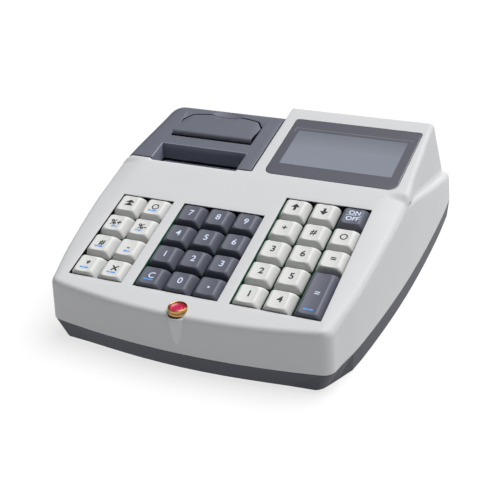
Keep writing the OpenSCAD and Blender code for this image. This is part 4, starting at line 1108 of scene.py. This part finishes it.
def lever_pocket(p, shell, loop, gap):
    """The lever's pocket: a collar on the slope, a round edge, a wall and a flat floor; the wall
    and floor are painted black as painted shade.
    """
    x, s = loop[:, 0], p.pod.along(loop[:, 1]) - p.lever_s
    w = p.lever_w / 2 + gap
    across = (x + p.paper_mid) * w / (w + POCKET_COLLAR)
    place = across - p.paper_mid
    side_end = lever_outline(p, p.lever_left - gap, gap)
    low_s = -p.lever_r - gap - 0.9
    close = 0.6 * smooth((12 - np.abs(across)) / 3)
    part = (s - s.min()) / (s.max() - s.min())
    along = np.where(s > s.max() - 1e-3, lever_outline(p, place, gap) - close,
                     low_s + part * (side_end - low_s))
    dip = p.pod.c * finger_scoop(p, place, p.pod.depth(p.lever_s + along))
    floor_n = LEVER_AXIS - p.lever_r - 0.25

    def ring(share_x, share_s, n):
        """The pocket's outline shrunk about its middle, at a height above the slope."""
        return p.pod.world(across * share_x - p.paper_mid,
                           p.lever_s + POCKET_MIDDLE + (along - POCKET_MIDDLE) * share_s, n)

    levels = [p.pod.world(x, s + p.lever_s, (loop[:, 2] - p.pod_z(loop[:, 1])) * p.pod.c)]
    for inset, n in ((0, 0), (0.15, -0.04), (0.28, -0.15), (0.33, -0.35), (0.33, floor_n)):
        levels.append(ring(1 - inset / w, 1 - inset / 15, np.maximum(n - dip, floor_n)))
    levels += [ring(share, share, floor_n) for share in (0.9, 0.5, 0.02)]
    shell.patch(np.stack(levels[:5]), wrap=True)
    shell.patch(np.stack(levels[4:]), wrap=True, slot=1)


class REGISTER_OT_printer_cover(bpy.types.Operator):
    """Builds the printer cover with its paper exit and lever pocket"""

    bl_idname = "register.printer_cover"
    bl_label = "Printer cover"

    def execute(self, context):
        shell = Shell()
        cover_skin(Plan(context.scene), shell)
        shell.build("printer_cover_shell", ("cover_abs", "key_frame", "chute_abs"), "cover",
                    "printer_cover", "cover_grey", 30)
        return {"FINISHED"}


class REGISTER_OT_cover_lever(bpy.types.Operator):
    """Builds the release lever: a rolled front edge that runs out into an arched rear"""

    bl_idname = "register.cover_lever"
    bl_label = "Cover lever"

    def execute(self, context):
        p, shell = Plan(context.scene), Shell()
        r, edge, left, right = p.lever_r, 0.7, p.lever_left, p.lever_left + p.lever_w
        side = quarter(edge, 5)
        x = np.concatenate([left + side, np.linspace(left + 2, right - 2, 31),
                            (right - side)[::-1]])
        drop = np.maximum(round_drop(edge, x - left), round_drop(edge, right - x))
        parts = [np.stack([(drop - r) * np.cos(a), LEVER_AXIS + (r - drop) * np.sin(a)], axis=-1)
                 for a in np.radians(np.linspace(-75, 90, 15))]
        end = lever_outline(p, x, 0) - 0.5
        for t in np.linspace(0.06, 1, 18):
            n = LEVER_AXIS + r - (r + LEVER_AXIS) * smooth(t * 0.9 + 0.02) * 1.02
            parts.append(np.stack([t * end, n - drop], axis=-1))
        tail = parts[-1]
        parts += [tail + step for step in ((0.35, -0.15), (0.5, -0.5), (0.5, -2.0))]
        s, n = np.moveaxis(np.stack(parts), -1, 0)
        low_n = LEVER_AXIS - r
        dip = p.pod.c * finger_scoop(p, x, p.pod.depth(p.lever_s + s))
        grid = p.pod.world(x, p.lever_s + s, np.maximum(n - dip, low_n))
        shell.patch(grid)
        # The side walls are painted black as painted shade, so that the groove round the lever
        # reads dark.
        for column, flip in ((0, False), (-1, True)):
            sag = np.sqrt(np.maximum((r - edge) ** 2 - np.minimum(s[:, column], 0) ** 2, 0))
            low = np.maximum(np.minimum(LEVER_AXIS - sag, n[:, column]), low_n)
            foot = p.pod.world(x[column], p.lever_s + s[:, column], low)
            shell.patch(np.stack([grid[:, column], foot]), flip=flip, slot=1)
        shell.build("cover_lever_shell", ("cover_abs", "key_frame"), "lever", "cover_lever",
                    "cover_grey", 40)
        return {"FINISHED"}


# ---------- Keys ----------

# Height of a print above its cap, and of a capital letter as a share of the lettering's size.
PRINT_LIFT, CAPITAL = 0.05, 0.69


def cap_top(p, x, half_w):
    """Height of a cap's top at x: a shallow cylinder along the key."""
    return p.key_rise - p.dish_depth * (1 - (x / half_w) ** 2)


def cap_skin(p, shell, x0, v0, cap_l):
    """A key cap: loops that shrink from the skirt, a rounded brow and a dished top."""
    hw0, hl0 = p.cap_w / 2, cap_l / 2
    hw1, hl1 = hw0 - p.cap_side_slope / 2, hl0 - p.cap_end_slope / 2
    low, hl_rear = p.key_rise - p.cap_h, hl1 - p.rear_slope
    levels = []

    def ring(w, front, rear, r, n, follow):
        """Adds a loop round the cap that follows the dish by a share."""
        x, v = rect_loop(-w, w, -front, rear, (r,) * 4, 7, 6).T
        dish = cap_top(p, np.clip(x, -hw1, hw1), hw1) - p.key_rise
        levels.append(p.deck.world(x0 + x, v0 + v, n + follow * dish))

    for inset, r, rise in ((1.2, 0.6, 0.2), (0.3, 0.9, 0), (0, 1.0, 0.3)):
        ring(hw0 - inset, hl0 - inset, hl0 - inset, r, low + rise, 0)
    # From the skirt to the top each side follows a parabola: from its start over a control point
    # at the height of the top, so it runs out level; the ends turn over more tightly.
    sides = ((hw0, hw1 + 1.2, hw1 - 1.4), (hl0, hl1 + 0.45, hl1 - 0.45),
             (hl0, hl_rear + 0.7, hl_rear - 1.0))
    for t in (0, 0.15, 0.3, 0.45, 0.6, 0.72, 0.82, 0.9, 0.96, 1.0):
        ring(*(parabola(t, *side) for side in sides), 1 + 1.6 * t,
             low + 1 + (p.cap_h - 1) * (1 - (1 - t) ** 2), t ** 3)
    w, front, rear = (side[2] for side in sides)
    loop = rect_loop(-w, w, -front, rear, (2.6,) * 4, 7, 6)
    centre = np.array([0.0, (rear - front) / 2])
    for share in (0.85, 0.65, 0.42, 0.2, 0.015):
        x, v = ((loop - centre) * share + centre).T
        levels.append(p.deck.world(x0 + x, v0 + v, cap_top(p, x, hw1)))
    shell.patch(np.stack(levels), wrap=True)


def glyphs(text, size, weight):
    """A line of plain lettering as flat points and faces, centred, with capitals of a size."""
    curve = bpy.data.curves.new("legend", "FONT")
    curve.body = text
    curve.size = size / CAPITAL
    curve.align_x = "CENTER"
    curve.resolution_u = 4
    curve.offset = weight
    holder = bpy.data.objects.new("legend", curve)
    mesh = bpy.data.meshes.new_from_object(holder)
    points = np.array([v.co[:2] for v in mesh.vertices])
    faces = [list(f.vertices) for f in mesh.polygons]
    bpy.data.objects.remove(holder)
    bpy.data.curves.remove(curve)
    bpy.data.meshes.remove(mesh)
    return points - [0, size / 2], faces


def joined(*shapes):
    """Several flat shapes (points, faces) as one."""
    points, faces = [], []
    for more, loops in shapes:
        faces += [[k + len(points) for k in loop] for loop in loops]
        points += list(more)
    return np.array(points, float), faces


def bars(*rects):
    """Rectangles (x, y, width, height) as points and faces."""
    corners = np.array([(-1, -1), (1, -1), (1, 1), (-1, 1)]) / 2
    return joined(*((corners * [w, h] + [x, y], [[0, 1, 2, 3]]) for x, y, w, h in rects))


def turned(points, degrees):
    """Points turned anticlockwise about the origin."""
    c, s = math.cos(math.radians(degrees)), math.sin(math.radians(degrees))
    return points @ np.array([[c, s], [-s, c]])


def arrow(turn, size, stem=1.0):
    """An arrow head on a stem, turned by quarter turns from up."""
    points = np.array([(-1, 0), (1, 0), (0, 1.15), (-0.3, -stem), (0.3, -stem), (0.3, 0),
                       (-0.3, 0)]) * size
    return turned(points, 90 * turn), [[0, 1, 2]] + ([[3, 4, 5, 6]] if stem else [])


def mark_shape(mark, weight):
    """Flat points and faces of a key's main mark, centred on the mark's place."""
    if mark == "double_up":
        head, faces = arrow(0, 2.3, 0)
        head = head * [1.45, 1]
        return joined((head + [0, 0.4], faces), (head - [0, 2.3], faces))
    if mark in ("up", "down"):
        return arrow(0 if mark == "up" else 2, 2.8)
    if mark == "ring":
        n, c = 28, np.stack(circle(28), axis=1)
        faces = [[k, (k + 1) % n, n + (k + 1) % n, n + k] for k in range(n)]
        return np.concatenate([c * 2.5, c * 1.7]), faces
    if mark == "times":
        points, faces = bars((0, 0, 5.6, 1.0), (0, 0, 1.0, 5.6))
        return turned(points, 45), faces
    if mark == "point":
        return np.stack(circle(12), axis=1) * 0.75, [list(range(12))]
    if mark == "on_off":
        (on, on_faces), (off, off_faces) = glyphs("ON", 3.4, 0.1), glyphs("OFF", 3.4, 0.1)
        return joined((on + [0, 2.6], on_faces), (off - [0, 2.6], off_faces),
                      bars((0, 0, 9.6, 0.3)))
    return glyphs(mark, 4.6 if mark[0].isdigit() else 4.4, weight)


def second_mark(kind):
    """The small blue mark in front of the main one: a dash or an arrow lying on its side."""
    if kind == "bar":
        return bars((-1.9, 0, 2.4, 1.1), (1.3, 0, 3.2, 1.1))
    return arrow(1 if kind == "left" else 3, 1.3, 2.4)


def key_cap(p, key, bank, column, line):
    """One key cap with its marks, at its place in a bank."""
    name, mark, second = (key + "/").split("/")[:3]
    span = 2 if name == TALL_KEY else 1
    row = len(BANKS[bank]) - line - span
    dark = bank == DARK_BANK or name in DARK_KEYS
    cap_l = p.key_span(span)
    x0 = p.bank_x[bank] + p.key_clear + p.cap_w / 2 + column * p.key_pitch
    v0 = p.key_clear + row * p.key_pitch + cap_l / 2
    shell = Shell()
    cap_skin(p, shell, x0, v0, cap_l)

    def printed(shape, slot, right, up):
        """Adds a flat shape just above the cap's top."""
        x, v = (shape[0] + [right, up]).T
        height = cap_top(p, x, (p.cap_w - p.cap_side_slope) / 2) + PRINT_LIFT
        shell.soup(p.deck.world(x0 + x, v0 + v, height), shape[1], slot)

    printed(mark_shape(mark, 0.06 if dark else 0.16), 1, 0.7, -1.4 if mark == "point" else -0.4)
    if second:
        printed(second_mark(second), 2, 0, 4.6 - cap_l / 2)
    finishes = ("dark_cap", "ink_white") if dark else ("light_cap", "ink_black")
    shell.build("cap_" + name, (*finishes, "ink_blue"), "key_" + name, "key_" + name,
                "key_dark" if dark else "key_light", 40)


class REGISTER_OT_key_caps(bpy.types.Operator):
    """Builds the thirty-four dished key caps with their printed marks"""

    bl_idname = "register.key_caps"
    bl_label = "Key caps"

    def execute(self, context):
        p = Plan(context.scene)
        for bank, lines in enumerate(BANKS):
            for line, keys in enumerate(lines):
                for column, key in enumerate(keys.split()):
                    key_cap(p, key, bank, column, line)
        return {"FINISHED"}


class REGISTER_OT_keyboard_parts(bpy.types.Operator):
    """Finishes the circuit board and the switches under the key caps"""

    bl_idname = "register.keyboard_parts"
    bl_label = "Keyboard parts"

    def execute(self, context):
        dress("keyboard_pcb", "board_mask")
        dress("key_switches", "black_nylon")
        return {"FINISHED"}


# ---------- Displays ----------


# Thickness of a window's plate, and the lower edge of the display's glass above the plate's.
PLATE_T, GLASS_UP = 1.8, 12.2


def window_plate(shell, tilt, place, radii, glass):
    """A plate with round corners: loops from its edge to the glass area and on to its middle."""
    edge = ((0.0, -PLATE_T), (0.0, -0.35), (0.1, -0.12), (0.35, 0.0), (0.6, 0.0))
    loops = [rect_loop(*grown(place, -inset), [r - inset for r in radii]) for inset, n in edge]
    bezel = len(loops)
    loops += [rect_loop(*grown(glass, margin), (0.8,) * 4) for margin in (3.3, 2.5, 0.4, 0.0)]
    heights = [n for inset, n in edge] + [0.0] * 4
    rings = np.stack([tilt.world(*loop.T, n) for loop, n in zip(loops, heights)])
    # The step of the frame behind is painted as a pale band above the glass: painted light on the
    # step.
    keep = all_kept(rings, wrap=True)
    keep[bezel] = loops[bezel][:, 1] < glass[1] + glass[3]
    shell.patch(rings[bezel:bezel + 2], ~keep[bezel:bezel + 1], wrap=True, slot=2)
    shell.patch(rings, keep, wrap=True)
    centre = loops[-1].mean(axis=0)
    core = np.stack([tilt.world(*((loops[-1] - centre) * s + centre).T, 0.0)
                     for s in (1, 0.75, 0.5, 0.25, 0.01)])
    shell.patch(core, wrap=True, slot=1)


class REGISTER_OT_displays(bpy.types.Operator):
    """Builds the two display windows and finishes the modules behind them"""

    bl_idname = "register.displays"
    bl_label = "Displays"

    def execute(self, context):
        p = Plan(context.scene)
        glass_x = p.display[0] + (p.window_w - p.lcd_w) / 2
        glass = (glass_x, p.window_at + GLASS_UP, p.lcd_w, p.lcd_l)
        for name, tilt, place, radii, pane in (
                ("display_window", p.pod, p.display, (5.8, 5.8, 2.4, 2.4), glass),
                ("customer_window", p.slope, CUSTOMER, (0.8,) * 4, CUSTOMER_GLASS)):
            shell = Shell()
            window_plate(shell, tilt, place, radii, pane)
            shell.build(name + "_plate", ("border_acrylic", "lcd_glass", "inner_step"), "root",
                        name, "window_smoke", 30)
        dress("lcd_module", "lcd_glass", "board_mask")
        dress("customer_lcd", "lcd_glass")
        return {"FINISHED"}


# ---------- Seal, printer and inside ----------


class REGISTER_OT_seal(bpy.types.Operator):
    """Builds the turned brass cup and the red compound in it"""

    bl_idname = "register.seal"
    bl_label = "Seal"

    def execute(self, context):
        p = Plan(context.scene)
        r, low, top = p.cup_r, p.cup_top - p.cup_h, p.cup_top
        inner_r, floor = r - 0.9, low + 1.0
        shell = Shell()
        lathe(shell, [(0.1, low), (r - 0.3, low), (r, low + 0.3), (r, low + 2.6),
                      (r - 0.15, low + 2.75), (r - 0.15, low + 3.0), (r, low + 3.15),
                      (r, top - 0.45), (r - 0.13, top - 0.13), (r - 0.45, top),
                      (r - 0.75, top - 0.13), (inner_r, top - 0.45), (inner_r, floor),
                      (0.1, floor)], p.cup_y)
        shell.build("seal_cup_turned", ("turned_brass",), "root", "seal_cup", "brass", 50)
        # The compound: a raised rim, three shallow lobes and a pressed ring.
        cos, sin = circle(72)
        radius = np.linspace(inner_r - 0.03, 0.02, 15)[:, None]
        rim = 0.55 * smooth(radius - (r - 2.0))
        lobes = 0.12 * np.sin(3 * np.arctan2(sin, cos) + 0.4) * np.exp(-((radius - 2.2) / 0.8) ** 2)
        ring = -0.25 * np.exp(-((radius - 3.1) / 0.25) ** 2)
        z = top - 1.0 + rim + lobes + ring
        z[0] -= 0.4
        grid = np.stack([radius * cos, p.cup_y + radius * sin, z], axis=-1)
        base = grid[:1].copy()
        base[..., 2] = floor
        shell = Shell()
        shell.patch(np.concatenate([base, grid]), wrap=True)
        shell.build("seal_wax_pressed", ("sealing_wax",), "root", "seal_wax", "seal_red", 60)
        return {"FINISHED"}


class REGISTER_OT_printer_parts(bpy.types.Operator):
    """Finishes the printer, the circuit board, the sockets and the battery"""

    bl_idname = "register.printer_parts"
    bl_label = "Printer parts"

    def execute(self, context):
        welded_copy("platen_gear", "platen", "acetal", 25)
        welded_copy("idler_gear", "idler", "acetal", 25)
        welded_copy("motor_pinion", "pinion", "turned_brass", 25)
        welded_copy("paper_roll", "roll", "thermal_paper", 30)
        welded_copy("roll_axle", "roll", "frame_abs", 30)
        welded_copy("stepper_motor", "root", "zinc_plate", 30)
        dress("platen_roller", "rubber", "bright_steel")
        dress("printer_frame", "frame_abs")
        dress("print_head", "bright_steel")
        dress("main_pcb", "board_mask")
        dress("rear_connectors", "black_nylon")
        dress("battery_pack", "heat_shrink")
        return {"FINISHED"}


# ---------- Studio ----------


class REGISTER_OT_studio(bpy.types.Operator):
    """Sets the camera, a pale sweep and soft light from above and the right"""

    bl_idname = "register.studio"
    bl_label = "Studio"

    def execute(self, context):
        scene, s = context.scene, context.scene.register_studio
        right, forward = np.array(s.camera_right), np.array(s.camera_forward)
        lens = bpy.data.cameras.new("photo_camera")
        lens.lens, lens.sensor_width, lens.sensor_fit = s.lens, 36, "HORIZONTAL"
        lens.clip_start, lens.clip_end = 0.01, 100
        axes = np.stack([right, np.cross(right, forward), -forward], axis=1)
        scene.camera = linked("photo_camera", lens, axes, s.camera_at)

        x, y = np.meshgrid(*[np.linspace(-40, 40, 25)] * 2)
        shell = Shell()
        shell.patch(np.stack([x, y, 0 * x], axis=-1))
        mesh = bpy.data.meshes.new("studio_floor")
        mesh.from_pydata(np.concatenate(shell.points).tolist(), [], shell.faces)
        mesh.materials.append(FINISHES["studio_sweep"])
        linked("studio_floor", mesh)

        lamp = bpy.data.lights.new("key_light", "SUN")
        lamp.energy, lamp.angle = s.key_strength, s.softness
        away = np.array(s.key_from) / np.linalg.norm(s.key_from)
        side = np.cross([0, 0, 1], away)
        side /= np.linalg.norm(side)
        linked("key_light", lamp, np.stack([side, np.cross(away, side), away], axis=1), away)
        # A plain tone curve: white stays white, as in a product picture.
        scene.view_settings.view_transform = "Standard"
        scene.world = bpy.data.worlds.new("white_surround")
        scene.world.use_nodes = True
        ground = scene.world.node_tree.nodes["Background"]
        ground.inputs["Color"].default_value = linear("#FFFFFF")
        ground.inputs["Strength"].default_value = s.sky
        return {"FINISHED"}


OPERATORS = (REGISTER_OT_upper_housing, REGISTER_OT_lower_housing, REGISTER_OT_printer_cover,
             REGISTER_OT_cover_lever, REGISTER_OT_key_caps, REGISTER_OT_keyboard_parts,
             REGISTER_OT_displays, REGISTER_OT_seal, REGISTER_OT_printer_parts, REGISTER_OT_studio)


class REGISTER_PT_panel(bpy.types.Panel):
    """Lists the steps that build the register"""

    bl_idname = "REGISTER_PT_panel"
    bl_label = "Ticket register"
    bl_space_type = "VIEW_3D"
    bl_region_type = "UI"
    bl_category = "Register"

    def draw(self, context):
        for step in OPERATORS:
            self.layout.operator(step.bl_idname)


GROUPS = {"register_housing": HousingSizes, "register_keyboard": KeyboardSizes,
          "register_printer": PrinterSizes, "register_colours": FinishColours,
          "register_studio": StudioSettings}


def register():
    for group in list(GROUPS.values()) + list(OPERATORS) + [REGISTER_PT_panel]:
        bpy.utils.register_class(group)
    for name, group in GROUPS.items():
        setattr(bpy.types.Scene, name, bpy.props.PointerProperty(type=group))


def unregister():
    for name in GROUPS:
        delattr(bpy.types.Scene, name)
    for group in [REGISTER_PT_panel] + list(OPERATORS) + list(GROUPS.values()):
        bpy.utils.unregister_class(group)


def main():
    register()
    make_finishes(bpy.context.scene.register_colours)
    bpy.ops.register.upper_housing()
    bpy.ops.register.lower_housing()
    bpy.ops.register.printer_cover()
    bpy.ops.register.cover_lever()
    bpy.ops.register.key_caps()
    bpy.ops.register.keyboard_parts()
    bpy.ops.register.displays()
    bpy.ops.register.seal()
    bpy.ops.register.printer_parts()
    bpy.ops.register.studio()


if __name__ == "__main__":
    main()
